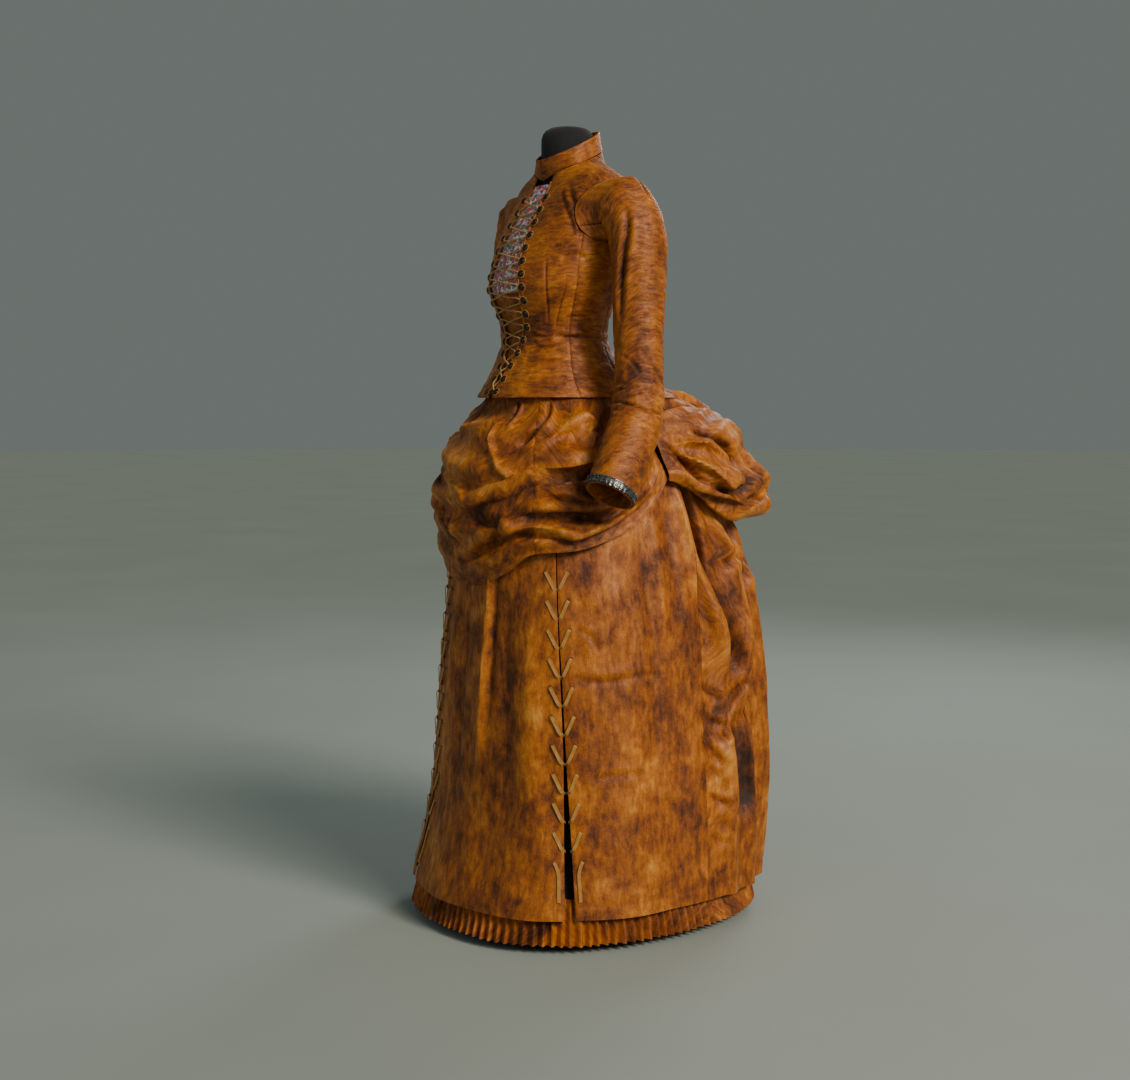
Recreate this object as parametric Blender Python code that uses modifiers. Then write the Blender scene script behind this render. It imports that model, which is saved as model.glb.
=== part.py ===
# Bustle dress of golden-brown velvet on a dress form.
# Metres, +Z up. The front faces -Y and the wearer's left is +X. The floor is z = 0.
import math
from collections import namedtuple

import bmesh
import bpy
import numpy as np

# Cloth and seams
VELVET = 0.0016
COTTON = 0.0010
SEAM = 0.0005
TOUCH = 0.0003

# Heights
NECK_FRONT = 1.341
NECK_BACK = 1.407
WAIST = 1.068
BAND_LOW = 1.040
BODICE_HEM = 0.955
OUTER_HEM = 0.060
RUFFLE_TOP = 0.092
RUFFLE_LOW = 0.015

# Angles, in degrees from the centre front towards the wearer's left
SIDE_SEAM = 72.0
SHOULDER_GAP = 0.35
SIDE_BACK_SEAM = 112.0
ARMHOLE_SPREAD = 26.0
ARMHOLE_MIDDLE = 1.280
ARMHOLE_HALF = 0.055
APRON_SEAM = 42.0
GATHER = 107.0

# Repeats
BUTTONS = 16
BUTTON_TOP = 1.310
BUTTON_PITCH = 0.0231
BUTTON_RADIUS = 0.0062
BUTTON_LIFT = 0.0014
EYELETS = 11
EYELET_TOP = 0.655
EYELET_PITCH = 0.0496
EYELET_INSET = 0.018
RUFFLE_PLEATS = 118

Section = namedtuple("Section", "z half_width front back middle power")

# The bodice's outside. Below the waist its back spreads over the bustle as a tail.
TORSO = [
    Section(0.930, 0.158, -0.140, 0.325, 0.026, 2.1),
    Section(0.955, 0.150, -0.128, 0.278, 0.020, 2.1),
    Section(0.970, 0.142, -0.118, 0.240, 0.016, 2.1),
    Section(0.990, 0.132, -0.105, 0.190, 0.012, 2.1),
    Section(1.010, 0.124, -0.094, 0.148, 0.010, 2.1),
    Section(1.030, 0.117, -0.085, 0.116, 0.010, 2.1),
    Section(1.050, 0.112, -0.079, 0.101, 0.010, 2.1),
    Section(1.071, 0.110, -0.077, 0.097, 0.010, 2.1),
    Section(1.110, 0.119, -0.090, 0.104, 0.013, 2.1),
    Section(1.152, 0.134, -0.104, 0.116, 0.018, 2.1),
    Section(1.200, 0.143, -0.092, 0.126, 0.022, 2.1),
    Section(1.250, 0.149, -0.068, 0.131, 0.030, 2.1),
    Section(1.300, 0.153, -0.038, 0.130, 0.038, 2.1),
    Section(1.335, 0.143, -0.018, 0.124, 0.045, 2.1),
    Section(1.360, 0.100, -0.010, 0.116, 0.045, 2.0),
    Section(1.380, 0.060, -0.006, 0.110, 0.045, 2.0),
    Section(1.407, 0.050, 0.000, 0.103, 0.045, 2.0),
]

# The outer skirt's outside, with the shelf of the bustle behind the waist.
SKIRT = [
    Section(0.015, 0.288, -0.244, 0.400, 0.050, 2.3),
    Section(0.060, 0.285, -0.239, 0.401, 0.050, 2.3),
    Section(0.140, 0.278, -0.214, 0.410, 0.050, 2.3),
    Section(0.270, 0.268, -0.190, 0.415, 0.050, 2.3),
    Section(0.400, 0.255, -0.184, 0.415, 0.050, 2.3),
    Section(0.600, 0.238, -0.170, 0.388, 0.050, 2.3),
    Section(0.720, 0.218, -0.165, 0.358, 0.050, 2.3),
    Section(0.800, 0.203, -0.158, 0.335, 0.050, 2.2),
    Section(0.850, 0.190, -0.145, 0.315, 0.042, 2.1),
    Section(0.900, 0.168, -0.122, 0.282, 0.034, 2.1),
    Section(0.930, 0.151, -0.109, 0.252, 0.026, 2.1),
    Section(0.955, 0.137, -0.101, 0.212, 0.020, 2.1),
    Section(0.990, 0.121, -0.089, 0.146, 0.012, 2.1),
    Section(1.020, 0.1125, -0.079, 0.104, 0.010, 2.1),
    Section(1.040, 0.1085, -0.0755, 0.0945, 0.010, 2.1),
]

Inset = namedtuple("Inset", "z depth")

# How far the foundation skirt lies inside the outer skirt.
FOUNDATION_INSET = [
    Inset(0.015, 0.0225),
    Inset(0.140, 0.0225),
    Inset(0.400, 0.0220),
    Inset(0.800, 0.016),
    Inset(0.950, 0.012),
    Inset(1.000, 0.0065),
    Inset(1.025, 0.0032),
    Inset(1.040, 0.0028),
]

# How far the dress form lies inside the bodice.
FORM_INSET = [
    Inset(1.090, 0.0070),
    Inset(1.150, 0.0068),
    Inset(1.300, 0.0060),
    Inset(1.335, 0.0130),
    Inset(1.352, 0.0180),
]

Turn = namedtuple("Turn", "z angle")

# The front edge of each bodice front.
FRONT_EDGE = [
    Turn(0.950, 2.5),
    Turn(1.000, 5.0),
    Turn(1.040, 12.0),
    Turn(1.085, 22.0),
    Turn(1.140, 24.0),
    Turn(1.200, 21.0),
    Turn(1.280, 21.0),
    Turn(1.345, 27.0),
]

# The laced slit at each side of the skirt's front panel, and half its width.
LEFT_SLIT = [Turn(0.060, 56.5), Turn(0.350, 54.0), Turn(0.650, 50.5), Turn(1.040, 48.0)]
RIGHT_SLIT = [Turn(0.060, 28.5), Turn(0.350, 29.0), Turn(0.650, 25.0), Turn(1.040, 24.0)]
SLIT_HALF = [
    Inset(0.060, 0.0095),
    Inset(0.200, 0.0060),
    Inset(0.370, 0.0020),
    Inset(0.620, 0.0010),
    Inset(1.040, 0.0004),
]
SKIRT_BACK_SEAM = [Turn(0.060, 112.0), Turn(0.630, 117.0), Turn(1.040, 112.0)]

Edge = namedtuple("Edge", "angle z")

# The apron's lower edge, from the centre front to the gather at the side back.
APRON_EDGE = [
    Edge(0.0, 0.622),
    Edge(14.0, 0.628),
    Edge(28.0, 0.650),
    Edge(42.0, 0.686),
    Edge(58.0, 0.692),
    Edge(73.0, 0.711),
    Edge(89.0, 0.742),
    Edge(98.0, 0.772),
    Edge(107.0, 0.812),
]

Drape = namedtuple("Drape", "z out")

# How far the apron and the pouf stand out from the skirt. The pouf turns under at its end.
APRON_OUT = [
    Drape(0.600, 0.006),
    Drape(0.640, 0.009),
    Drape(0.680, 0.016),
    Drape(0.740, 0.026),
    Drape(0.810, 0.030),
    Drape(0.850, 0.029),
    Drape(0.900, 0.022),
    Drape(0.930, 0.011),
    Drape(0.955, 0.0065),
    Drape(0.990, 0.0045),
    Drape(1.020, 0.0034),
    Drape(1.035, 0.0028),
]
POUF_PROFILE = [
    Drape(1.034, 0.0028),
    Drape(1.020, 0.0042),
    Drape(1.005, 0.0080),
    Drape(0.985, 0.0190),
    Drape(0.955, 0.042),
    Drape(0.930, 0.062),
    Drape(0.905, 0.074),
    Drape(0.865, 0.072),
    Drape(0.825, 0.070),
    Drape(0.790, 0.076),
    Drape(0.765, 0.070),
    Drape(0.750, 0.054),
    Drape(0.746, 0.034),
    Drape(0.754, 0.014),
]

# The pouf's lower edge rises to the gather at each side.
POUF_TOP = 0.950
POUF_LOW = 0.745
GATHER_RISE = 0.062

Fold = namedtuple("Fold", "place width height")

# Swags of the apron: the share of its depth up from the lower edge.
APRON_FOLDS = [
    Fold(0.10, 0.036, 0.008),
    Fold(0.24, 0.040, 0.015),
    Fold(0.37, 0.038, 0.016),
    Fold(0.51, 0.042, 0.015),
    Fold(0.66, 0.045, 0.010),
    Fold(0.85, 0.045, 0.004),
]

# Shares of its depth where the apron has points: on each swag's crest and between them.
APRON_SHARES = [0.0, 0.05, 0.10, 0.17, 0.24, 0.305, 0.37, 0.44, 0.51, 0.585, 0.66, 0.75, 0.85, 0.93, 1.0]

# Loops of the pouf: the share of the way over it.
POUF_FOLDS = [
    Fold(0.30, 0.045, 0.010),
    Fold(0.46, 0.045, 0.018),
    Fold(0.62, 0.045, 0.020),
    Fold(0.77, 0.040, 0.016),
]

# Upright folds of the skirt's back, by their angle from the centre front.
BACK_FOLDS = [
    Fold(124.0, 3.5, 0.016),
    Fold(136.0, 4.0, 0.024),
    Fold(149.0, 4.0, 0.026),
    Fold(162.0, 4.0, 0.024),
    Fold(175.0, 3.5, 0.018),
]

Ring = namedtuple("Ring", "x y right_y z out down deep wide")

# The sleeve, from the armhole to the wrist. The unseen right arm hangs a little further back.
SLEEVE = [
    Ring(0.150, 0.050, 0.050, 1.280, 1.00, 0.10, 0.050, 0.055),
    Ring(0.168, 0.047, 0.047, 1.281, 0.95, 0.30, 0.050, 0.056),
    Ring(0.186, 0.053, 0.055, 1.260, 0.70, 0.70, 0.052, 0.050),
    Ring(0.199, 0.057, 0.061, 1.222, 0.30, 0.95, 0.053, 0.046),
    Ring(0.203, 0.056, 0.064, 1.160, 0.08, 1.00, 0.050, 0.043),
    Ring(0.208, 0.052, 0.070, 1.080, 0.08, 1.00, 0.045, 0.042),
    Ring(0.218, 0.046, 0.076, 1.000, 0.12, 1.00, 0.043, 0.041),
    Ring(0.240, 0.026, 0.068, 0.925, 0.25, 1.00, 0.046, 0.041),
    Ring(0.267, -0.018, 0.036, 0.855, 0.22, 1.00, 0.046, 0.040),
    Ring(0.283, -0.060, 0.004, 0.790, 0.18, 1.00, 0.043, 0.039),
]

# Turns round the armhole and the sleeve, 0 in front and 90 at the top, where their edges have points.
UPPER_TURNS = [-30.0, 0.0, 30.0, 60.0, 90.0, 120.0, 150.0, 180.0]
UNDER_TURNS = [240.0, 270.0, 300.0]

# Rows along the sleeve that have points, counted in its rings.
SLEEVE_ROWS = [0.0, 0.5, 1.0, 1.6, 2.3, 3.2, 4.5, 5.8, 6.8, 7.8, 9.0]

# Heights that the skirt's layers have points at.
SKIRT_ROWS = [0.060, 0.200, 0.340, 0.480, 0.620, 0.760, 0.860, 0.920, 0.955, 0.985, 1.005, 1.020, 1.034]
BODICE_SEAM_ROWS = 9

parts = bpy.data.collections.new("bustle_dress")


def clear_scene():
    for thing in list(bpy.data.objects):
        bpy.data.objects.remove(thing, do_unlink=True)
    bpy.context.scene.collection.children.link(parts)


def finish_of(name, colour, roughness, metallic=0.0):
    made = bpy.data.materials.new(name)
    made.use_nodes = True
    surface = made.node_tree.nodes["Principled BSDF"]
    surface.inputs["Base Color"].default_value = (*colour, 1.0)
    surface.inputs["Roughness"].default_value = roughness
    surface.inputs["Metallic"].default_value = metallic
    return made


def smooth_curve(x, places, values):
    """A smooth curve through the values that never overshoots them."""
    order = np.argsort(places)
    places = np.asarray(places, float)[order]
    values = np.asarray(values, float)[order]
    steps = np.diff(places)
    slopes = np.diff(values) / steps
    tangents = np.zeros(len(places))
    tangents[0] = slopes[0]
    tangents[-1] = slopes[-1]
    for i in range(1, len(places) - 1):
        if slopes[i - 1] * slopes[i] > 0:
            tangents[i] = 2 * slopes[i - 1] * slopes[i] / (slopes[i - 1] + slopes[i])
    x = np.clip(x, places[0], places[-1])
    i = np.clip(np.searchsorted(places, x) - 1, 0, len(steps) - 1)
    t = (x - places[i]) / steps[i]
    start = values[i] * (1 + 2 * t) * (1 - t) ** 2 + tangents[i] * steps[i] * t * (1 - t) ** 2
    end = values[i + 1] * t**2 * (3 - 2 * t) + tangents[i + 1] * steps[i] * t**2 * (t - 1)
    return start + end


def column(table, name, x, by="z"):
    return smooth_curve(x, [getattr(row, by) for row in table], [getattr(row, name) for row in table])


def ease(x, low, high):
    t = np.clip((x - low) / (high - low), 0.0, 1.0)
    return t * t * (3 - 2 * t)


def ridges(x, folds):
    return sum(f.height * np.exp(-(((x - f.place) / f.width) ** 2)) for f in folds)


def reach(table, angle, z):
    """Distance from the section's middle to its outline, in the direction of the angle."""
    angle = np.radians(angle)
    middle = column(table, "middle", z)
    forward = middle - column(table, "front", z)
    behind = column(table, "back", z) - middle
    depth = np.where(np.cos(angle) > 0, forward, behind)
    power = column(table, "power", z)
    across = np.abs(np.sin(angle) / column(table, "half_width", z)) ** power
    along = np.abs(np.cos(angle) / depth) ** power
    return (across + along) ** (-1 / power)


def around(table, angle, z, out=0.0):
    """The point on a section's outline, moved out from its middle."""
    distance = reach(table, angle, z) + out
    turned = np.radians(angle)
    x = distance * np.sin(turned)
    y = column(table, "middle", z) - distance * np.cos(turned)
    return np.stack(np.broadcast_arrays(x, y, z), axis=-1)


def outward(surface, u, v, facing):
    """Unit normals of a surface given by two values, by small steps along each."""
    du = 0.05
    dv = 0.0005
    along_u = surface(u + du, v) - surface(u - du, v)
    along_v = surface(u, v + dv) - surface(u, v - dv)
    normal = np.cross(along_u, along_v) * facing
    return normal / np.linalg.norm(normal, axis=-1, keepdims=True)


def mesh_object(name, points, faces, material):
    mesh = bpy.data.meshes.new(name)
    mesh.from_pydata([tuple(map(float, p)) for p in points], [], faces)
    bm = bmesh.new()
    bm.from_mesh(mesh)
    bmesh.ops.recalc_face_normals(bm, faces=bm.faces)
    bm.to_mesh(mesh)
    bm.free()
    mesh.shade_smooth()
    mesh.set_sharp_from_angle(angle=math.radians(50))
    mesh.materials.append(material)
    thing = bpy.data.objects.new(name, mesh)
    parts.objects.link(thing)
    return thing


def sheet(name, outer, inner, material, ring=False):
    """A wall between two grids of points. A ring's last column meets its first.

    Both sides are split along the same diagonal, so that a bent wall keeps its thickness.
    """
    rows, columns = outer.shape[:2]
    points = np.concatenate([outer.reshape(-1, 3), inner.reshape(-1, 3)])
    inside = rows * columns
    faces = []
    last = columns if ring else columns - 1
    for r in range(rows - 1):
        for c in range(last):
            n = (c + 1) % columns
            a, b, far, near = r * columns + c, r * columns + n, (r + 1) * columns + n, (r + 1) * columns + c
            for half in ([a, b, far], [a, far, near]):
                faces.append(half)
                faces.append([inside + i for i in reversed(half)])
    for r in (0, rows - 1):
        for c in range(last):
            n = (c + 1) % columns
            a = r * columns + c
            b = r * columns + n
            faces.append([a, b, inside + b, inside + a])
    if not ring:
        for c in (0, columns - 1):
            for r in range(rows - 1):
                a = r * columns + c
                b = (r + 1) * columns + c
                faces.append([a, b, inside + b, inside + a])
    return mesh_object(name, points, faces, material)


def cloth(name, surface, u, v, thickness, material, facing=1.0, ring=False):
    """A cloth wall: the surface at a grid of values, and its copy moved in by the thickness."""
    outer = surface(u, v)
    inner = outer - outward(surface, u, v, facing) * thickness
    return sheet(name, outer, inner, material, ring)


def lathe_rings(name, rings, material):
    """A solid through closed rings of points, its ends closed with a flat face."""
    rows, columns = rings.shape[:2]
    faces = [list(range(columns)), [(rows - 1) * columns + c for c in range(columns)]]
    for r in range(rows - 1):
        for c in range(columns):
            n = (c + 1) % columns
            faces.append([r * columns + c, r * columns + n, (r + 1) * columns + n, (r + 1) * columns + c])
    return mesh_object(name, rings.reshape(-1, 3), faces, material)


# Surfaces of the garment, each given by an angle and a height or a share


def torso(angle, z):
    return around(TORSO, angle, z)


def back_folds(angle, z):
    """Upright folds behind the side seams, deepest below the pouf."""
    away = np.abs(angle)
    strength = ease(z, 0.86, 0.55) * (0.55 + 0.45 * ease(z, 0.06, 0.30))
    return ridges(away, BACK_FOLDS) * strength * ease(away, 115.0, 122.0)


def front_wave(angle, z):
    """Soft upright waves of the front and side panels."""
    wave = 0.0035 * np.cos(np.radians(angle) * 9.0) * ease(z, 0.70, 0.15)
    return wave * ease(np.abs(angle), 112.0, 100.0)


def outer_skirt(angle, z):
    return around(SKIRT, angle, z, back_folds(angle, z) + front_wave(angle, z))


def foundation(angle, z):
    return around(SKIRT, angle, z, -column(FOUNDATION_INSET, "depth", z))


def apron_height(angle, share):
    """Height of a point of the apron, by its share of the way up from the lower edge."""
    low = column(APRON_EDGE, "z", np.abs(angle), by="angle")
    return low + (1.034 - low) * share


def apron(angle, share):
    z = apron_height(angle, share)
    away = np.abs(angle)
    swag = ridges(share + 0.03 * np.sin(np.radians(angle) * 2.3), APRON_FOLDS) * ease(away, 112.0, 80.0)
    pleat = 0.0022 * np.cos(np.radians(angle) * 16.0) * ease(z, 0.99, 0.93) * ease(z, 0.84, 0.90)
    out = column(APRON_OUT, "out", z) * (1 - 0.55 * ease(away, 55.0, 95.0))
    out = np.maximum(out, np.minimum(column(APRON_OUT, "out", z), 0.0085))
    return around(SKIRT, angle, z, out + swag + pleat * ease(away, 100.0, 80.0))


def pouf(angle, share):
    steps = np.linspace(0.0, 1.0, len(POUF_PROFILE))
    z = smooth_curve(share, steps, [row.z for row in POUF_PROFILE])
    fall = np.clip((POUF_TOP - z) / (POUF_TOP - POUF_LOW), 0.0, 1.1)
    z = z + (1 - ease(np.abs(angle), GATHER, 140.0)) * fall * GATHER_RISE
    out = smooth_curve(share, steps, [row.out for row in POUF_PROFILE])
    away = np.abs(angle)
    under_tail = ease(share, 0.55, 0.25)
    full = ease(away, 100.0, 140.0) * (1 - under_tail) + ease(away, 120.0, 172.0) * under_tail
    least = np.minimum(out, np.minimum(column(APRON_OUT, "out", z), 0.014))
    loops = ridges(share + 0.05 * np.cos(np.radians(angle) * 4.0), POUF_FOLDS) * full
    return around(SKIRT, angle, z, least + (out - least) * full + loops)


def neck_height(angle):
    return NECK_FRONT + (NECK_BACK - NECK_FRONT) * ease(np.abs(angle), -40.0, 180.0) - 0.004


def collar_surface(angle, share):
    """A stand collar, from the neckline up to a ring that leans forward."""
    low = torso(angle, neck_height(angle)) + np.array([0.0, 0.0, 0.0016])
    turned = np.radians(angle)
    top_z = 1.4105 - 0.0295 * np.cos(turned)
    top = np.stack([0.0535 * np.sin(turned), 0.0385 - 0.0585 * np.cos(turned), top_z], axis=-1)
    share = share[..., None]
    return low * (1 - share) + top * share


def armhole(turn, scale=1.0):
    """A point of the left armhole's edge, by a turn that is 0 in front and 90 at the top."""
    angle = 90.0 - ARMHOLE_SPREAD * scale * np.cos(np.radians(turn))
    z = ARMHOLE_MIDDLE + ARMHOLE_HALF * scale * np.sin(np.radians(turn))
    return angle, z


def sleeve_surface(side):
    def surface(turn, row):
        steps = np.arange(len(SLEEVE), dtype=float)
        value = {n: smooth_curve(row, steps, [getattr(r, n) for r in SLEEVE]) for n in Ring._fields}
        y_name = "y" if side > 0 else "right_y"
        step = 0.05
        middle = np.clip(row, step, len(SLEEVE) - 1 - step)
        ahead = smooth_curve(middle + step, steps, [getattr(r, y_name) for r in SLEEVE])
        behind = smooth_curve(middle - step, steps, [getattr(r, y_name) for r in SLEEVE])
        higher = smooth_curve(middle - step, steps, [r.z for r in SLEEVE])
        lower = smooth_curve(middle + step, steps, [r.z for r in SLEEVE])
        forward = (ahead - behind) / np.maximum(higher - lower, 0.004) * ease(row, 2.5, 5.0)
        way = np.stack([value["out"], forward * value["down"], -value["down"]], axis=-1)
        way = way / np.linalg.norm(way, axis=-1, keepdims=True)
        front = np.zeros_like(way)
        front[..., 1] = -1.0
        front = front - way * np.sum(front * way, axis=-1, keepdims=True)
        front = front / np.linalg.norm(front, axis=-1, keepdims=True)
        up = np.cross(front, way)
        centre = np.stack([value["x"], value[y_name], value["z"]], axis=-1)
        turned = np.radians(turn)
        deep = (value["deep"] * np.cos(turned))[..., None]
        wide = (value["wide"] * np.sin(turned))[..., None]
        tube = centre + front * deep + up * wide
        angle, z = armhole(turn, 0.982)
        hole = around(TORSO, angle, z, 0.0016)
        share = ease(row, 0.0, 1.0)[..., None]
        point = hole * (1 - share) + tube * share
        return point * np.array([side, 1.0, 1.0])

    return surface


# Pieces of the bodice


def coons(bottom, top, left, right):
    """A grid of angles and heights between two side edges, which bends to the other two near them."""
    u = np.linspace(0.0, 1.0, len(bottom))[None, :, None]
    v = np.linspace(0.0, 1.0, len(left))[:, None, None]
    across = left[:, None] * (1 - u) + right[:, None] * u
    low_bend = bottom - (bottom[0] * (1 - u[0]) + bottom[-1] * u[0])
    high_bend = top - (top[0] * (1 - u[0]) + top[-1] * u[0])
    grid = across + low_bend[None] * (1 - v) ** 3 + high_bend[None] * v**3
    return grid[..., 0], grid[..., 1]


def pairs(angles, heights):
    return np.stack(np.broadcast_arrays(np.asarray(angles, float), np.asarray(heights, float)), axis=-1)


def gap_angle(angle, z, table, gap=SEAM):
    return np.degrees(gap / 2 / reach(table, angle, z))


def armhole_turn(seam):
    """The turn where a seam at this angle meets the lower half of the armhole."""
    return -math.degrees(math.acos((90.0 - seam) / ARMHOLE_SPREAD))


def back_meeting_turn():
    return 180.0 - armhole_turn(180.0 - SIDE_BACK_SEAM)


def front_edge_heights():
    """Heights that the front's centre edge has points at."""
    return np.linspace(BODICE_HEM, NECK_FRONT + 0.0015, BODICE_SEAM_ROWS + 5)


def bodice_front(side, material):
    columns = 9
    arc_angle, arc_z = armhole(np.array([armhole_turn(SIDE_SEAM), *UPPER_TURNS[:5]]))
    seam_z = np.linspace(BODICE_HEM, arc_z[0], BODICE_SEAM_ROWS)
    seam_angle = SIDE_SEAM - gap_angle(SIDE_SEAM, seam_z, TORSO)
    right = pairs(np.append(seam_angle, arc_angle[1:]), np.append(seam_z, arc_z[1:]))
    right[-1, 0] -= SHOULDER_GAP
    left_z = front_edge_heights()
    left_angle = column(FRONT_EDGE, "angle", left_z)
    left = pairs(left_angle, left_z)
    bottom = pairs(np.linspace(left_angle[0], seam_angle[0], columns), BODICE_HEM)
    neck_columns = columns // 2 + 1
    neck_angle = np.linspace(left_angle[-1], 90.0 - SHOULDER_GAP, neck_columns)
    neck = pairs(neck_angle, neck_height(neck_angle))
    left[-1] = neck[0]
    tip = right[-1]
    shoulder_z = np.linspace(neck[-1, 1], tip[1], columns - neck_columns + 1)[1:]
    top = np.concatenate([neck, pairs(90.0 - SHOULDER_GAP, shoulder_z)])
    angle, z = coons(bottom, top, left, right)
    name = "bodice_front_left" if side > 0 else "bodice_front_right"
    return cloth(name, torso, angle * side, z, VELVET, material)


def bodice_side(side, material):
    turns = np.array([armhole_turn(SIDE_SEAM) + 360.0, *UNDER_TURNS[::-1], back_meeting_turn()])
    arc_angle, arc_z = armhole(turns)
    share = np.linspace(0.0, 1.0, BODICE_SEAM_ROWS)[:, None]
    z = BODICE_HEM + (arc_z[None, :] - BODICE_HEM) * share
    angle = arc_angle[None, :] + 0.0 * z
    angle[:, 0] += gap_angle(SIDE_SEAM, z[:, 0], TORSO)
    angle[:, -1] -= gap_angle(SIDE_BACK_SEAM, z[:, -1], TORSO)
    name = "bodice_side_left" if side > 0 else "bodice_side_right"
    return cloth(name, torso, angle * side, z, VELVET, material)


def bodice_back(side, material):
    columns = 9
    arc_angle, arc_z = armhole(np.array([back_meeting_turn(), *UPPER_TURNS[:3:-1]]))
    seam_z = np.linspace(BODICE_HEM, arc_z[0], BODICE_SEAM_ROWS)
    seam_angle = SIDE_BACK_SEAM + gap_angle(SIDE_BACK_SEAM, seam_z, TORSO)
    left = pairs(np.append(seam_angle, arc_angle[1:]), np.append(seam_z, arc_z[1:]))
    left[-1, 0] += SHOULDER_GAP
    rows = len(left)
    right_z = np.linspace(BODICE_HEM, neck_height(180.0), rows)
    right = pairs(180.0 - gap_angle(180.0, right_z, TORSO), right_z)
    bottom = pairs(np.linspace(left[0, 0], right[0, 0], columns), BODICE_HEM)
    neck_columns = columns // 2 + 1
    neck_angle = np.linspace(90.0 + SHOULDER_GAP, right[-1, 0], neck_columns)
    neck = pairs(neck_angle, neck_height(neck_angle))
    shoulder_z = np.linspace(left[-1, 1], neck[0, 1], columns - neck_columns + 1)[:-1]
    top = np.concatenate([pairs(90.0 + SHOULDER_GAP, shoulder_z), neck])
    angle, z = coons(bottom, top, left, right)
    name = "bodice_back_left" if side > 0 else "bodice_back_right"
    return cloth(name, torso, angle * side, z, VELVET, material)


def collar(side, material):
    angle, share = np.meshgrid(np.linspace(0.6, 179.7, 12) * side, np.linspace(0.0, 1.0, 2))
    name = "collar_left" if side > 0 else "collar_right"
    return cloth(name, collar_surface, angle, share, 0.0024, material)


def plastron(material):
    """The printed front that shows between the bodice's fronts and reaches under their edges."""
    under = 5.0

    def surface(angle, z):
        return around(TORSO, angle, z, -VELVET - 0.0014)

    z = front_edge_heights()[1:]
    z[-1] -= 0.006
    half = column(FRONT_EDGE, "angle", z) + under
    angle = np.linspace(-1.0, 1.0, 6)[None, :] * half[:, None]
    heights = z[:, None] + 0.0 * angle
    return cloth("plastron", surface, angle, heights, 0.0008, material)


def sleeve(side, upper, material):
    surface = sleeve_surface(side)
    if upper:
        turns = np.array([*UPPER_TURNS, back_meeting_turn()])
    else:
        front = [armhole_turn(SIDE_SEAM) + 360.0, UPPER_TURNS[0] + 360.0]
        turns = np.array([back_meeting_turn(), *UNDER_TURNS, *front])
    turns[0] += SHOULDER_GAP
    turns[-1] -= SHOULDER_GAP
    turn, row = np.meshgrid(turns, SLEEVE_ROWS[::-1] if not upper and side > 0 else SLEEVE_ROWS)
    outer = surface(turn, row)
    # At the armhole the sleeve starts flat on the bodice, so its wall turns as it does just below.
    inner = outer - outward(surface, turn, np.maximum(row, 0.3), -side) * VELVET
    piece = "sleeve_upper" if upper else "sleeve_under"
    return sheet(piece + ("_left" if side > 0 else "_right"), outer, inner, material)


def cuff_edge(side, material):
    """Metal lace that goes round the sleeve's end, just outside its last stretch."""
    base = sleeve_surface(side)
    front = armhole_turn(SIDE_SEAM) + 360.0
    turns = np.array([*UPPER_TURNS, back_meeting_turn(), *UNDER_TURNS, front])
    start, end = SLEEVE_ROWS[-2:]
    turn, share = np.meshgrid(turns, np.array([0.835, 0.985]))
    out = outward(base, turn, end + 0.0 * turn, -side)
    high = base(turn, start + 0.0 * turn)
    low = base(turn, end + 0.0 * turn)
    points = high + (low - high) * share[..., None]
    name = "cuff_edge_left" if side > 0 else "cuff_edge_right"
    return sheet(name, points + out * 0.0016, points + out * 0.0006, material, ring=True)


# Skirts


def panel_grid(start, end, shares, rows):
    """Angles and heights of a panel between two edges, each given as a function of the height."""
    z = np.array(rows)[:, None] + np.zeros((1, len(shares)))
    share = np.array(shares)[None, :]
    first = start(z[:, :1])
    last = end(z[:, :1])
    return first + (last - first) * share, z


def at_angle(value):
    return lambda z: value + 0.0 * z


def seam_line(table, sign=1.0):
    return lambda z: column(table, "angle", z) * sign


def slit_of(side):
    return LEFT_SLIT if side > 0 else RIGHT_SLIT


def slit_edge(side, back):
    """The edge of the laced slit: its own line, opened by half the slit."""

    def line(z):
        middle = column(slit_of(side), "angle", z)
        half = np.degrees(column(SLIT_HALF, "depth", z) / reach(SKIRT, middle, z))
        return side * (middle + (half if back else -half))

    return line


def foundation_panel(name, start, end, columns, material):
    rows = [0.050, RUFFLE_TOP, *SKIRT_ROWS[2:6:2], *SKIRT_ROWS[6:-1], BAND_LOW - TOUCH]
    first = seam_offset(at_angle(start), 1.0)
    last = seam_offset(at_angle(end), -1.0)
    angle, z = panel_grid(first, last, np.linspace(0.0, 1.0, columns), rows)
    return cloth(name, foundation, angle, z, COTTON, material)


def fold_shares():
    """The back panel has points on the crest of each fold and between the folds."""
    crests = [f.place for f in BACK_FOLDS]
    between = [(a + b) / 2 for a, b in zip(crests, crests[1:])]
    first = column(SKIRT_BACK_SEAM, "angle", 0.5)
    places = np.array(sorted([first, 120.0, *crests, *between, 180.0]))
    return (places - first) / (180.0 - first)


def skirt_panel(name, start, end, shares, material):
    angle, z = panel_grid(start, end, shares, SKIRT_ROWS)
    return cloth(name, outer_skirt, angle, z, VELVET, material)


def seam_offset(line, sign):
    """A seam's line moved by half the seam's gap."""
    return lambda z: line(z) + sign * gap_angle(line(z), z, SKIRT)


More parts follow.
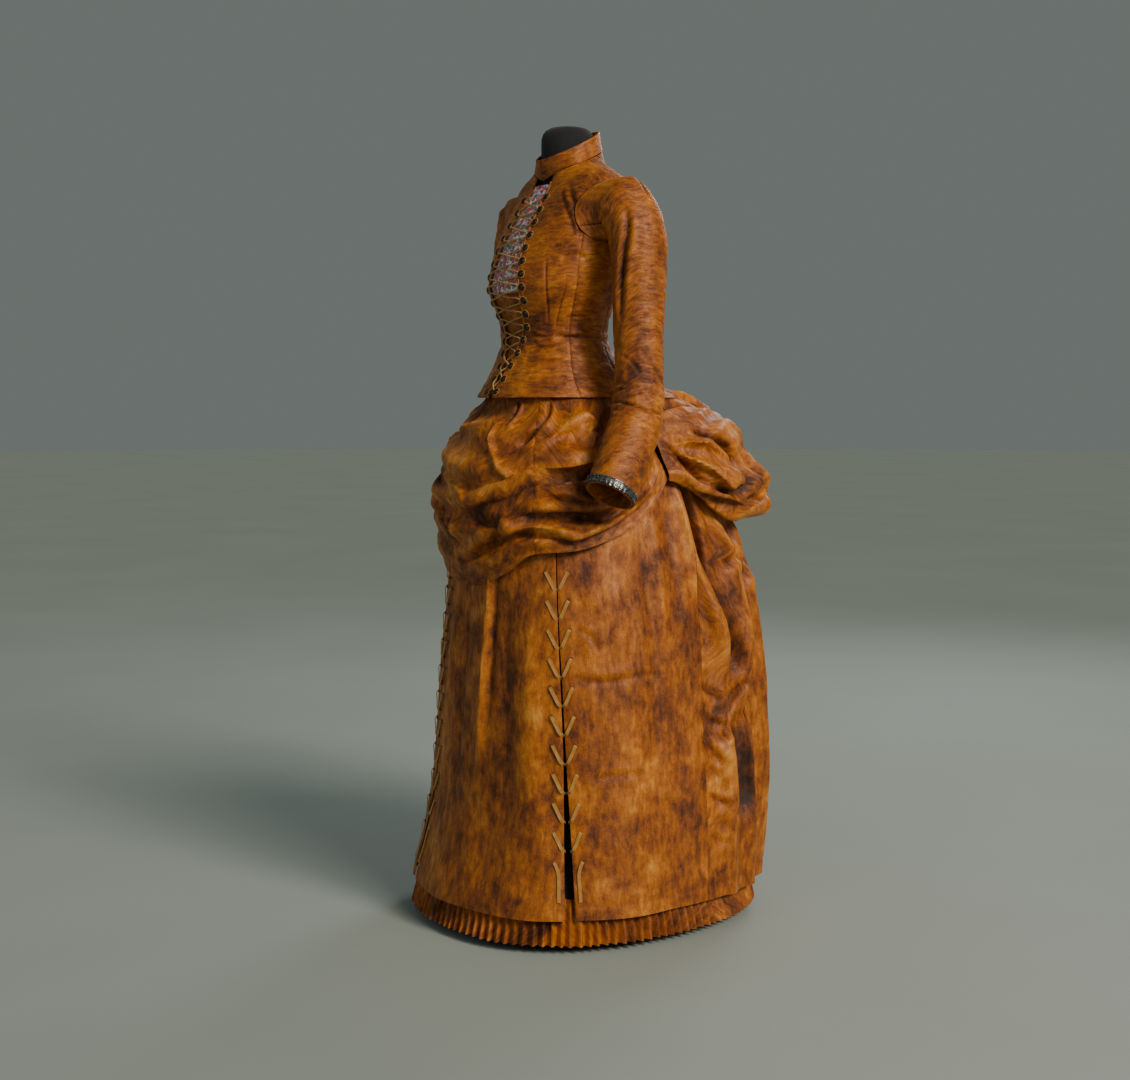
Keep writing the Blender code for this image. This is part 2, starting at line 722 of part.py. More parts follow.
def ruffle(name, start, end, material):
    """Knife pleats of even width, set by the length along the hem."""
    fine = np.linspace(-180.0, 180.0, 1441)
    hem = around(SKIRT, fine, np.full(fine.shape, OUTER_HEM))
    length = np.append(0.0, np.cumsum(np.linalg.norm(np.diff(hem, axis=0), axis=1)))
    total = length[-1]
    first = np.interp(start, fine, length) / total * RUFFLE_PLEATS
    last = np.interp(end, fine, length) / total * RUFFLE_PLEATS
    count = int(round(last - first)) * 2
    turn = np.linspace(first, last, count + 1)
    turn[0] += 0.02
    turn[-1] -= 0.02
    angle = np.interp(turn / RUFFLE_PLEATS * total, length, fine)
    z = np.array([RUFFLE_TOP, RUFFLE_LOW])
    inset = np.array([0.018, 0.005])
    depth = np.array([0.0024, 0.0062])
    wave = np.where(np.arange(count + 1) % 2 == 0, 1.0, -1.0)
    out = -inset[:, None] + depth[:, None] * wave[None, :]
    angles = angle[None, :] + 0.0 * out
    heights = z[:, None] + 0.0 * out
    outer = around(SKIRT, angles, heights, out)
    inner = around(SKIRT, angles, heights, out - VELVET)
    return sheet(name, outer, inner, material)


def apron_panel(name, start, end, columns, material):
    gap = 0.06
    angle, rise = np.meshgrid(np.linspace(start + gap, end - gap, columns), APRON_SHARES)
    return cloth(name, apron, angle, rise, 0.0014, material)


def pouf_half(side, material):
    first = np.arange(4) / (len(POUF_PROFILE) - 1)
    ways = np.array([*first, 0.30, 0.38, 0.46, 0.54, 0.62, 0.695, 0.77, 0.835, 0.885, 0.93, 1.0])
    angle, way = np.meshgrid(np.linspace(GATHER + 0.1, 179.93, 12) * side, ways)
    name = "pouf_left" if side > 0 else "pouf_right"
    return cloth(name, pouf, angle, way, 0.0014, material, facing=-1.0)


def waistband(material):
    angle, z = np.meshgrid(form_angles(), [BAND_LOW, WAIST + 0.002])

    def surface(angle, z):
        points = around(SKIRT, angle, BAND_LOW + 0.0 * z, -0.0028)
        points[..., 2] = z
        return points

    return cloth("waistband", surface, angle, z, 0.0020, material, ring=True)


# Fastenings


def button_place(i, side, inner=0.0):
    """Angle and height of a button, or of a point beside it towards the centre front."""
    z = BUTTON_TOP - BUTTON_PITCH * i
    edge = column(FRONT_EDGE, "angle", z)
    back = np.degrees((0.0075 - inner) / reach(TORSO, edge, z))
    return (edge + back) * side, z


def button_row(side, material):
    """Six-sided domed buttons down a front's edge, joined by the narrow binding they are sewn on."""
    z = front_edge_heights()[:-1]
    angles = np.array([button_place((BUTTON_TOP - h) / BUTTON_PITCH, side)[0] for h in z])
    line = torso(angles, z)
    normals = outward(torso, angles, z, 1.0)
    domes = [(0.0000, 0.80), (0.0018, 1.00), (0.0042, 0.50)]
    points = []
    faces = []
    for i in range(BUTTONS):
        height = button_place(i, side)[1]
        centre = np.array([np.interp(height, z, line[:, k]) for k in range(3)])
        normal = np.array([np.interp(height, z, normals[:, k]) for k in range(3)])
        normal = normal / np.linalg.norm(normal)
        ahead = np.array([np.interp(height - 0.01, z, line[:, k]) for k in range(3)]) - centre
        down = ahead - normal * np.dot(ahead, normal)
        down = down / np.linalg.norm(down)
        across = np.cross(normal, down)
        first = len(points)
        for rise, width in domes:
            for t in np.radians(np.arange(0, 360, 60)):
                spoke = down * math.sin(t) + across * math.cos(t)
                points.append(centre + normal * (BUTTON_LIFT + rise) + spoke * BUTTON_RADIUS * width)
        faces.append(list(range(first, first + 6)))
        faces.append(list(range(first + 12, first + 18)))
        for band in range(2):
            for c in range(6):
                # The side that faces the next button, and the side that faces the last one, join the binding.
                joined = (c == 1 and i < BUTTONS - 1) or (c == 4 and i > 0)
                if band == 0 and joined:
                    continue
                n = (c + 1) % 6
                low = first + band * 6
                faces.append([low + c, low + n, low + 6 + n, low + 6 + c])
        if i < BUTTONS - 1:
            near = [first + 1, first + 2, first + 8, first + 7]
            far = [first + 18 + 5, first + 18 + 4, first + 18 + 10, first + 18 + 11]
            for k in range(4):
                m = (k + 1) % 4
                faces.append([near[k], near[m], far[m], far[k]])
    return mesh_object("buttons_left" if side > 0 else "buttons_right", points, faces, material)


def tube(name, route, radius, material):
    """A cord through its points, as a curve with a round bevel."""
    curve = bpy.data.curves.new(name, "CURVE")
    curve.dimensions = "3D"
    curve.bevel_depth = radius
    curve.bevel_resolution = 0
    curve.use_fill_caps = True
    spline = curve.splines.new("POLY")
    spline.points.add(len(route) - 1)
    for point, place in zip(spline.points, route):
        point.co = (*map(float, place), 1.0)
    curve.materials.append(material)
    thing = bpy.data.objects.new(name, curve)
    parts.objects.link(thing)
    return thing


def over_torso(angle, z, height):
    angle = np.array(float(angle))
    z = np.array(float(z))
    return torso(angle, z) + outward(torso, angle, z, 1.0) * height


def bodice_lace(name, first, lift, material):
    """One strand that crosses the front from button to button, turning round each."""
    route = []
    rest = 0.0018
    for i in range(BUTTONS):
        side = first if i % 2 == 0 else -first
        angle, z = button_place(i, side, inner=0.0078)
        turn = 0.0026
        if i > 0:
            route.append(over_torso(angle, z + turn, rest))
        if i < BUTTONS - 1:
            route.append(over_torso(angle, z - turn, rest))
            other, next_z = button_place(i + 1, -side, inner=0.0078)
            for share in (0.32, 0.68):
                middle = angle + (other - angle) * share
                height = z - turn + (next_z + 2 * turn - z) * share
                route.append(over_torso(middle, height, rest + lift))
    return tube(name, route, 0.0010, material)


def skirt_lace(name, side, hand, material):
    """One ribbon beside the slit: from eyelet to eyelet by way of the slit's edge, and a free tail."""
    rest = 0.0030 if side > 0 else 0.0048
    from_edge = 0.0018
    stroke = 0.65
    tail_drops = (0.022, 0.045, 0.068)
    tail_inset = 0.010

    def point(z, inset, height):
        z = np.array(float(z))
        middle = column(slit_of(side), "angle", z)
        across = hand * (inset + column(SLIT_HALF, "depth", z))
        angle = side * (middle + np.degrees(across / reach(SKIRT, middle, z)))
        return outer_skirt(angle, z) + outward(outer_skirt, angle, z, 1.0) * height

    route = []
    for i in range(EYELETS):
        z = EYELET_TOP - EYELET_PITCH * i
        route.append(point(z, EYELET_INSET, rest))
        if i < EYELETS - 1:
            for share in (0.5, 1.0):
                inset = EYELET_INSET + (from_edge - EYELET_INSET) * share
                route.append(point(z - EYELET_PITCH * stroke * share, inset, rest))
    last_z = EYELET_TOP - EYELET_PITCH * (EYELETS - 1)
    for drop in tail_drops:
        route.append(point(last_z - drop, tail_inset, rest))
    return tube(name, route, 0.0011, material)


def collar_hook(material):
    """A small dark hook that closes the collar, lying on its left end."""
    angle = np.array(9.0)
    share = np.array(0.30)
    centre = collar_surface(angle, share)
    normal = outward(collar_surface, angle, share, 1.0)
    bm = bmesh.new()
    bmesh.ops.create_uvsphere(bm, u_segments=8, v_segments=5, radius=0.0030)
    mesh = bpy.data.meshes.new("collar_hook")
    bm.to_mesh(mesh)
    bm.free()
    mesh.shade_smooth()
    mesh.materials.append(material)
    thing = bpy.data.objects.new("collar_hook", mesh)
    thing.location = centre + normal * 0.0034
    parts.objects.link(thing)
    return thing


# Dress form


def form_angles():
    return np.linspace(0.0, 360.0, 21)[:-1]


def form_body(material):
    """A smooth torso with a low domed neck, closed flat at the hips."""
    angle = form_angles()
    rings = []
    turned = np.radians(angle)
    hips = [
        Section(0.820, 0.112, -0.075, 0.100, 0.010, 2.0),
        Section(0.880, 0.122, -0.078, 0.105, 0.010, 2.0),
        Section(0.950, 0.117, -0.073, 0.103, 0.010, 2.0),
        Section(1.000, 0.104, -0.062, 0.096, 0.010, 2.0),
    ]
    for hip in hips:
        rings.append(around(hips, angle, np.full(angle.shape, hip.z)))
    for z in (BAND_LOW - 0.004, WAIST + 0.004):
        ring = around(SKIRT, angle, BAND_LOW + 0.0 * angle, -0.0053)
        ring[..., 2] = z
        rings.append(ring)
    for z in (1.105, 1.150, 1.200, 1.250, 1.300, 1.335, 1.350):
        z = np.full(angle.shape, z)
        rings.append(around(TORSO, angle, z, -column(FORM_INSET, "depth", z)))
    # The neck is a short column inside the collar: height, half width, half depth and middle.
    neck = [
        (1.374, 0.0500, 0.0500, 0.0430),
        (1.392, 0.0475, 0.0500, 0.0400),
        (1.420, 0.0465, 0.0490, 0.0390),
        (1.435, 0.0400, 0.0420, 0.0390),
        (1.443, 0.0220, 0.0230, 0.0390),
    ]
    for z, rx, ry, middle in neck:
        rings.append(np.stack([rx * np.sin(turned), middle - ry * np.cos(turned), z + 0.0 * angle], axis=-1))
    return lathe_rings("form_body", np.array(rings), material)


def form_stand(material):
    """A round base plate with a pole, turned in one profile."""
    pole = [(0.0, 0.8197), (0.016, 0.8197), (0.016, 0.030)]
    plate = [(0.040, 0.022), (0.170, 0.012), (0.175, 0.0), (0.0, 0.0)]
    profile = pole + plate
    bm = bmesh.new()
    corners = [bm.verts.new((x, 0.0, z)) for x, z in profile]
    for a, b in zip(corners, corners[1:]):
        bm.edges.new((a, b))
    mesh = bpy.data.meshes.new("form_stand")
    bm.to_mesh(mesh)
    bm.free()
    mesh.materials.append(material)
    thing = bpy.data.objects.new("form_stand", mesh)
    thing.location = (0.0, 0.050, 0.0)
    parts.objects.link(thing)
    turn = thing.modifiers.new("turned", "SCREW")
    turn.steps = 24
    turn.render_steps = 24
    turn.use_merge_vertices = True
    turn.merge_threshold = 0.00001
    turn.use_smooth_shade = True
    return thing


clear_scene()
velvet = finish_of("golden_brown_velvet", (0.36, 0.13, 0.020), 0.70)
print_cotton = finish_of("printed_cotton", (0.62, 0.50, 0.48), 0.75)
dark_cotton = finish_of("dark_brown_cotton", (0.045, 0.020, 0.010), 0.85)
jersey = finish_of("black_jersey", (0.008, 0.009, 0.013), 0.80)
bronze = finish_of("dark_bronze_buttons", (0.055, 0.038, 0.028), 0.30, 0.8)
cord = finish_of("gold_cord", (0.40, 0.24, 0.07), 0.45, 0.3)
ribbon = finish_of("bronze_ribbon", (0.30, 0.17, 0.06), 0.45, 0.2)
metal_lace = finish_of("metal_lace", (0.12, 0.12, 0.12), 0.40, 0.8)
stand_wood = finish_of("dark_stained_wood", (0.040, 0.022, 0.012), 0.50)

form_body(jersey)
form_stand(stand_wood)
waistband(dark_cotton)
foundation_panel("foundation_front", -50.0, 50.0, 8, dark_cotton)
foundation_panel("foundation_left", 50.0, 115.0, 5, dark_cotton)
foundation_panel("foundation_back_left", 115.0, 180.0, 6, dark_cotton)
foundation_panel("foundation_back_right", 180.0, 245.0, 6, dark_cotton)
foundation_panel("foundation_right", 245.0, 310.0, 5, dark_cotton)
ruffle("ruffle_front", -50.0, 50.0, velvet)
ruffle("ruffle_left", 50.0, 115.0, velvet)
ruffle("ruffle_back_left", 115.0, 180.0, velvet)
ruffle("ruffle_back_right", -180.0, -115.0, velvet)
ruffle("ruffle_right", -115.0, -50.0, velvet)
skirt_panel("skirt_front", slit_edge(-1, False), slit_edge(1, False), np.linspace(0.0, 1.0, 10), velvet)
for hand, word, side_columns in ((1, "left", 8), (-1, "right", 10)):
    back_seam = seam_line(SKIRT_BACK_SEAM, hand)
    side_end = seam_offset(back_seam, -hand)
    side_shares = np.linspace(0.0, 1.0, side_columns)
    skirt_panel("skirt_side_" + word, slit_edge(hand, True), side_end, side_shares, velvet)
    centre_back = seam_offset(at_angle(180.0 * hand), -hand)
    skirt_panel("skirt_back_" + word, seam_offset(back_seam, hand), centre_back, fold_shares(), velvet)
    pouf_half(hand, velvet)
    bodice_front(hand, velvet)
    bodice_side(hand, velvet)
    bodice_back(hand, velvet)
    collar(hand, velvet)
    sleeve(hand, True, velvet)
    sleeve(hand, False, velvet)
    cuff_edge(hand, metal_lace)
    button_row(hand, bronze)
    skirt_lace(f"skirt_lace_{word}_a", hand, -1, ribbon)
    skirt_lace(f"skirt_lace_{word}_b", hand, 1, ribbon)
apron_panel("apron_front", -APRON_SEAM, APRON_SEAM, 13, velvet)
apron_panel("apron_left", APRON_SEAM, GATHER, 10, velvet)
apron_panel("apron_right", -GATHER, -APRON_SEAM, 10, velvet)
plastron(print_cotton)
bodice_lace("bodice_lace_a", 1, 0.0, cord)
bodice_lace("bodice_lace_b", -1, 0.0026, cord)
collar_hook(bronze)
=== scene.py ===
import math
from collections import namedtuple

import bpy
import numpy as np
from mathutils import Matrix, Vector


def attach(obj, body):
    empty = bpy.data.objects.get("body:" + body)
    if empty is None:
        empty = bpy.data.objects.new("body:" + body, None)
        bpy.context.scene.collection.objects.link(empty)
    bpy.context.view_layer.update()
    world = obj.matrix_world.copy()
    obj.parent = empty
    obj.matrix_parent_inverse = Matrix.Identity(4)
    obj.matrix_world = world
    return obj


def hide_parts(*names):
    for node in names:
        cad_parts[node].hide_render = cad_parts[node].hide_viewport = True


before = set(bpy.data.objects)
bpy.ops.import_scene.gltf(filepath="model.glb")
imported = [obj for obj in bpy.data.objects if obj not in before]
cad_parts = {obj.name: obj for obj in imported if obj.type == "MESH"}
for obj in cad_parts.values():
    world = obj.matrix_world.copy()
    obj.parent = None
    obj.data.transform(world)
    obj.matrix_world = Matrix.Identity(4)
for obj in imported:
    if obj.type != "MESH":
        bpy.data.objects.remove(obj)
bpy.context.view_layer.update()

# The dress's measures: metres, degrees and counts, as in its solids

VELVET = 0.0016
COTTON = 0.0010
SEAM = 0.0005
NECK_FRONT = 1.341
NECK_BACK = 1.407
BODICE_HEM = 0.955
OUTER_HEM = 0.060
RUFFLE_TOP = 0.092
RUFFLE_LOW = 0.015
SIDE_SEAM = 72.0
SIDE_BACK_SEAM = 112.0
ARMHOLE_SPREAD = 26.0
ARMHOLE_MIDDLE = 1.280
ARMHOLE_HALF = 0.055
APRON_SEAM = 42.0
GATHER = 107.0
BUTTONS = 16
BUTTON_TOP = 1.310
BUTTON_PITCH = 0.0231
BUTTON_RADIUS = 0.0062
EYELETS = 11
EYELET_TOP = 0.655
EYELET_PITCH = 0.0496
EYELET_INSET = 0.018
SHOULDER_GAP = 0.35
RUFFLE_PLEATS = 118
APRON_TOP = 1.034
HEM_DEPTH = 0.026
# Below this height the plastron's print is covered by velvet, as painted shade where the print lies in
# shadow.
PRINT_SHADE_TOP = 1.140

# Measures of what is added here, and the thickness of each cloth as it is drawn

SHOWN_TOP = 0.800
PLEAT_FACE = 0.72
DRAPE = 0.0014
COLLAR = 0.0024
PRINT = 0.0006
BUTTON_SETBACK = 0.0075
LACE_INSET = 0.0078
STITCH_PITCH = 0.0042
STITCH_HALF = 0.00042
CORD_RADIUS = 0.0017
RIBBON_WIDTH = 0.0058
RIBBON = 0.0009
WORD = {1: "left", -1: "right"}

Section = namedtuple("Section", "z half_width front back middle power")

TORSO = [
    Section(0.930, 0.158, -0.140, 0.325, 0.026, 2.1),
    Section(0.955, 0.150, -0.128, 0.278, 0.020, 2.1),
    Section(0.970, 0.142, -0.118, 0.240, 0.016, 2.1),
    Section(0.990, 0.132, -0.105, 0.190, 0.012, 2.1),
    Section(1.010, 0.124, -0.094, 0.148, 0.010, 2.1),
    Section(1.030, 0.117, -0.085, 0.116, 0.010, 2.1),
    Section(1.050, 0.112, -0.079, 0.101, 0.010, 2.1),
    Section(1.071, 0.110, -0.077, 0.097, 0.010, 2.1),
    Section(1.110, 0.119, -0.090, 0.104, 0.013, 2.1),
    Section(1.152, 0.134, -0.104, 0.116, 0.018, 2.1),
    Section(1.200, 0.143, -0.092, 0.126, 0.022, 2.1),
    Section(1.250, 0.149, -0.068, 0.131, 0.030, 2.1),
    Section(1.300, 0.153, -0.038, 0.130, 0.038, 2.1),
    Section(1.335, 0.143, -0.018, 0.124, 0.045, 2.1),
    Section(1.360, 0.100, -0.010, 0.116, 0.045, 2.0),
    Section(1.380, 0.060, -0.006, 0.110, 0.045, 2.0),
    Section(1.407, 0.050, 0.000, 0.103, 0.045, 2.0),
]

SKIRT = [
    Section(0.015, 0.288, -0.244, 0.400, 0.050, 2.3),
    Section(0.060, 0.285, -0.239, 0.401, 0.050, 2.3),
    Section(0.140, 0.278, -0.214, 0.410, 0.050, 2.3),
    Section(0.270, 0.268, -0.190, 0.415, 0.050, 2.3),
    Section(0.400, 0.255, -0.184, 0.415, 0.050, 2.3),
    Section(0.600, 0.238, -0.170, 0.388, 0.050, 2.3),
    Section(0.720, 0.218, -0.165, 0.358, 0.050, 2.3),
    Section(0.800, 0.203, -0.158, 0.335, 0.050, 2.2),
    Section(0.850, 0.190, -0.145, 0.315, 0.042, 2.1),
    Section(0.900, 0.168, -0.122, 0.282, 0.034, 2.1),
    Section(0.930, 0.151, -0.109, 0.252, 0.026, 2.1),
    Section(0.955, 0.137, -0.101, 0.212, 0.020, 2.1),
    Section(0.990, 0.121, -0.089, 0.146, 0.012, 2.1),
    Section(1.020, 0.1125, -0.079, 0.104, 0.010, 2.1),
    Section(1.040, 0.1085, -0.0755, 0.0945, 0.010, 2.1),
]

Inset = namedtuple("Inset", "z depth")
Turn = namedtuple("Turn", "z angle")
Edge = namedtuple("Edge", "angle z")
Drape = namedtuple("Drape", "z out")
Swell = namedtuple("Swell", "place width height")
Ring = namedtuple("Ring", "x y right_y z out down deep wide")


def rows_of(kind, *rows):
    return [kind(*row) for row in rows]



FRONT_EDGE = rows_of(
    Turn, (0.950, 2.5), (1.000, 5.0), (1.040, 12.0), (1.085, 22.0), (1.140, 24.0), (1.200, 21.0),
    (1.280, 21.0), (1.345, 27.0),
)
SLIT = {
    1: [Turn(0.060, 56.5), Turn(0.350, 54.0), Turn(0.650, 50.5), Turn(1.040, 48.0)],
    -1: [Turn(0.060, 28.5), Turn(0.350, 29.0), Turn(0.650, 25.0), Turn(1.040, 24.0)],
}
SLIT_HALF = rows_of(
    Inset, (0.060, 0.0095), (0.200, 0.0060), (0.370, 0.0020), (0.620, 0.0010), (1.040, 0.0004),
)
SKIRT_BACK_SEAM = [Turn(0.060, 112.0), Turn(0.630, 117.0), Turn(1.040, 112.0)]
APRON_EDGE = rows_of(
    Edge, (0.0, 0.622), (14.0, 0.628), (28.0, 0.650), (42.0, 0.686), (58.0, 0.692), (73.0, 0.711),
    (89.0, 0.742), (98.0, 0.772), (107.0, 0.812),
)
APRON_OUT = rows_of(
    Drape, (0.600, 0.006), (0.640, 0.009), (0.680, 0.016), (0.740, 0.026), (0.810, 0.030),
    (0.850, 0.029), (0.900, 0.022), (0.930, 0.011), (0.955, 0.0065), (0.990, 0.0045), (1.020, 0.0034),
    (1.035, 0.0028),
)
POUF_PROFILE = rows_of(
    Drape, (1.034, 0.0028), (1.020, 0.0042), (1.005, 0.0080), (0.985, 0.0190), (0.955, 0.042),
    (0.930, 0.062), (0.905, 0.074), (0.865, 0.072), (0.825, 0.070), (0.790, 0.076), (0.765, 0.070),
    (0.750, 0.054), (0.746, 0.034), (0.754, 0.014),
)
POUF_TOP = 0.950
POUF_LOW = 0.745
GATHER_RISE = 0.062
APRON_SWELLS = rows_of(
    Swell, (0.10, 0.036, 0.008), (0.24, 0.040, 0.015), (0.37, 0.038, 0.016), (0.51, 0.042, 0.015),
    (0.66, 0.045, 0.010), (0.85, 0.045, 0.004),
)
POUF_SWELLS = rows_of(
    Swell, (0.30, 0.045, 0.010), (0.46, 0.045, 0.018), (0.62, 0.045, 0.020), (0.77, 0.040, 0.016),
)
BACK_SWELLS = rows_of(
    Swell, (124.0, 3.5, 0.016), (136.0, 4.0, 0.024), (149.0, 4.0, 0.026), (162.0, 4.0, 0.024),
    (175.0, 3.5, 0.018),
)
SLEEVE = [
    Ring(0.150, 0.050, 0.050, 1.280, 1.00, 0.10, 0.050, 0.055),
    Ring(0.168, 0.047, 0.047, 1.281, 0.95, 0.30, 0.050, 0.056),
    Ring(0.186, 0.053, 0.055, 1.260, 0.70, 0.70, 0.052, 0.050),
    Ring(0.199, 0.057, 0.061, 1.222, 0.30, 0.95, 0.053, 0.046),
    Ring(0.203, 0.056, 0.064, 1.160, 0.08, 1.00, 0.050, 0.043),
    Ring(0.208, 0.052, 0.070, 1.080, 0.08, 1.00, 0.045, 0.042),
    Ring(0.218, 0.046, 0.076, 1.000, 0.12, 1.00, 0.043, 0.041),
    Ring(0.240, 0.026, 0.068, 0.925, 0.25, 1.00, 0.046, 0.041),
    Ring(0.267, -0.018, 0.036, 0.855, 0.22, 1.00, 0.046, 0.040),
    Ring(0.283, -0.060, 0.004, 0.790, 0.18, 1.00, 0.043, 0.039),
]

# Curves, noise and folds


def smooth_curve(x, places, values):
    """A smooth curve through the values that never overshoots them."""
    order = np.argsort(places)
    places = np.asarray(places, float)[order]
    values = np.asarray(values, float)[order]
    steps = np.diff(places)
    slopes = np.diff(values) / steps
    tangents = np.zeros(len(places))
    tangents[0] = slopes[0]
    tangents[-1] = slopes[-1]
    for i in range(1, len(places) - 1):
        if slopes[i - 1] * slopes[i] > 0:
            tangents[i] = 2 * slopes[i - 1] * slopes[i] / (slopes[i - 1] + slopes[i])
    x = np.clip(x, places[0], places[-1])
    i = np.clip(np.searchsorted(places, x) - 1, 0, len(steps) - 1)
    t = (x - places[i]) / steps[i]
    start = values[i] * (1 + 2 * t) * (1 - t) ** 2 + tangents[i] * steps[i] * t * (1 - t) ** 2
    end = values[i + 1] * t**2 * (3 - 2 * t) + tangents[i + 1] * steps[i] * t**2 * (t - 1)
    return start + end


def column(table, name, x, by="z"):
    return smooth_curve(x, [getattr(row, by) for row in table], [getattr(row, name) for row in table])


def ease(x, low, high):
    t = np.clip((x - low) / (high - low), 0.0, 1.0)
    return t * t * (3 - 2 * t)


def unit(vectors):
    return vectors / np.linalg.norm(vectors, axis=-1, keepdims=True)


def full_turn(count):
    """Even turns round a circle."""
    return np.linspace(0.0, 2 * math.pi, count + 1)[:-1]


def read_off(places, along, values):
    """Rows of values read off at places along a line."""
    return np.stack([np.interp(places, along, row) for row in np.asarray(values).T], axis=-1)


def ridges(x, swells):
    return sum(f.height * np.exp(-(((x - f.place) / f.width) ** 2)) for f in swells)


def lattice(i, j, seed):
    """A fixed value from -1 to 1 for each whole-number place."""
    n = (i * 374761393 + j * 668265263 + seed * 974634777) & 0xFFFFFFFF
    n = ((n ^ (n >> 13)) * 1274126177) & 0xFFFFFFFF
    return ((n ^ (n >> 16)) & 0xFFFF) / 32767.5 - 1.0


def noise(x, y, seed):
    """Smooth unevenness of one size, from -1 to 1."""
    i = np.floor(x).astype(np.int64)
    j = np.floor(y).astype(np.int64)
    s = x - i
    t = y - j
    s = s * s * (3 - 2 * s)
    t = t * t * (3 - 2 * t)
    low = lattice(i, j, seed) * (1 - s) + lattice(i + 1, j, seed) * s
    high = lattice(i, j + 1, seed) * (1 - s) + lattice(i + 1, j + 1, seed) * s
    return low * (1 - t) + high * t


def crumple(x, y, across, along, seed):
    """Uneven cloth: creases of the given sizes in metres, sharper on their crests."""
    bent = x + 0.35 * across * noise(x / (3 * across), y / (3 * along), seed + 7)
    first = 1 - 2 * np.abs(noise(bent / across, y / along, seed))
    second = 1 - 2 * np.abs(noise(bent / (0.47 * across), y / (0.47 * along), seed + 3))
    return 0.7 * first + 0.3 * second


# A crease or ridge in the cloth: how deep its trough is (a ridge is negative), how wide, how high the lip
# beside it stands, and the points it passes through.
Crease = namedtuple("Crease", "depth width lip path")


def crease_table(*rows, per=1000.0):
    """Creases from rows of depth, width and lip in mm, then pairs of an angle and a place times per."""
    made = []
    for depth, width, lip, *path in rows:
        places = [(angle, place / per) for angle, place in zip(path[::2], path[1::2])]
        made.append(Crease(depth / 1000, width / 1000, lip / 1000, places))
    return made


def laid_folds(x, y, creases, to_metres):
    """The relief of creases at cloth places x and y, both in metres."""
    total = np.zeros(np.broadcast(x, y).shape)
    for crease in creases:
        path = np.array([to_metres(a, b) for a, b in crease.path], float)
        steps = np.linspace(0, len(path) - 1, 4 * (len(path) - 1) + 1)
        path = np.stack([smooth_curve(steps, np.arange(len(path)), path[:, k]) for k in (0, 1)], axis=-1)
        legs = np.diff(path, axis=0)
        lengths = np.linalg.norm(legs, axis=1)
        along = np.append(0.0, np.cumsum(lengths))
        best = np.full(total.shape, 1e9)
        side = np.zeros(total.shape)
        place = np.zeros(total.shape)
        for k, leg in enumerate(legs):
            dx = x - path[k, 0]
            dy = y - path[k, 1]
            t = np.clip((dx * leg[0] + dy * leg[1]) / (lengths[k] ** 2 + 1e-12), 0.0, 1.0)
            away = np.hypot(dx - t * leg[0], dy - t * leg[1])
            nearer = away < best
            best = np.where(nearer, away, best)
            side = np.where(nearer, np.sign(leg[0] * dy - leg[1] * dx), side)
            place = np.where(nearer, (along[k] + t * lengths[k]) / along[-1], place)
        taper = np.clip(place / 0.22, 0.0, 1.0) * np.clip((1 - place) / 0.22, 0.0, 1.0)
        taper = taper * (2 - taper)
        signed = best * side / crease.width
        trough = -crease.depth * np.exp(-(np.abs(signed) ** 1.7))
        lip = crease.lip * np.exp(-(((signed - 1.9) / 1.3) ** 2))
        total = total + (trough + lip) * taper
    return total


# Surfaces of the garment, each given by an angle and a height or a share


def reach(table, angle, z):
    angle = np.radians(angle)
    middle = column(table, "middle", z)
    forward = middle - column(table, "front", z)
    behind = column(table, "back", z) - middle
    depth = np.where(np.cos(angle) > 0, forward, behind)
    power = column(table, "power", z)
    across = np.abs(np.sin(angle) / column(table, "half_width", z)) ** power
    along = np.abs(np.cos(angle) / depth) ** power
    return (across + along) ** (-1 / power)


def around(table, angle, z, out=0.0):
    distance = reach(table, angle, z) + out
    turned = np.radians(angle)
    x = distance * np.sin(turned)
    y = column(table, "middle", z) - distance * np.cos(turned)
    return np.stack(np.broadcast_arrays(x, y, z), axis=-1)


def outward(surface, u, v, facing=1.0):
    along_u = surface(u + 0.05, v) - surface(u - 0.05, v)
    along_v = surface(u, v + 0.0005) - surface(u, v - 0.0005)
    return unit(np.cross(along_u, along_v) * facing)


def torso(angle, z):
    return around(TORSO, angle, z)


def back_folds(angle, z):
    away = np.abs(angle)
    strength = ease(z, 0.86, 0.55) * (0.55 + 0.45 * ease(z, 0.06, 0.30))
    return ridges(away, BACK_SWELLS) * strength * ease(away, 115.0, 122.0)


def front_wave(angle, z):
    wave = 0.0035 * np.cos(np.radians(angle) * 9.0) * ease(z, 0.70, 0.15)
    return wave * ease(np.abs(angle), 112.0, 100.0)


def outer_skirt(angle, z):
    return around(SKIRT, angle, z, back_folds(angle, z) + front_wave(angle, z))


def apron_height(angle, share):
    low = column(APRON_EDGE, "z", np.abs(angle), by="angle")
    return low + (APRON_TOP - low) * share


def apron(angle, share):
    z = apron_height(angle, share)
    away = np.abs(angle)
    swag = ridges(share + 0.03 * np.sin(np.radians(angle) * 2.3), APRON_SWELLS) * ease(away, 112.0, 80.0)
    pleat = 0.0022 * np.cos(np.radians(angle) * 16.0) * ease(z, 0.99, 0.93) * ease(z, 0.84, 0.90)
    out = column(APRON_OUT, "out", z) * (1 - 0.55 * ease(away, 55.0, 95.0))
    out = np.maximum(out, np.minimum(column(APRON_OUT, "out", z), 0.0085))
    return around(SKIRT, angle, z, out + swag + pleat * ease(away, 100.0, 80.0))


def pouf_height(angle, share):
    steps = np.linspace(0.0, 1.0, len(POUF_PROFILE))
    z = smooth_curve(share, steps, [row.z for row in POUF_PROFILE])
    fall = np.clip((POUF_TOP - z) / (POUF_TOP - POUF_LOW), 0.0, 1.1)
    return z + (1 - ease(np.abs(angle), 107.0, 140.0)) * fall * GATHER_RISE


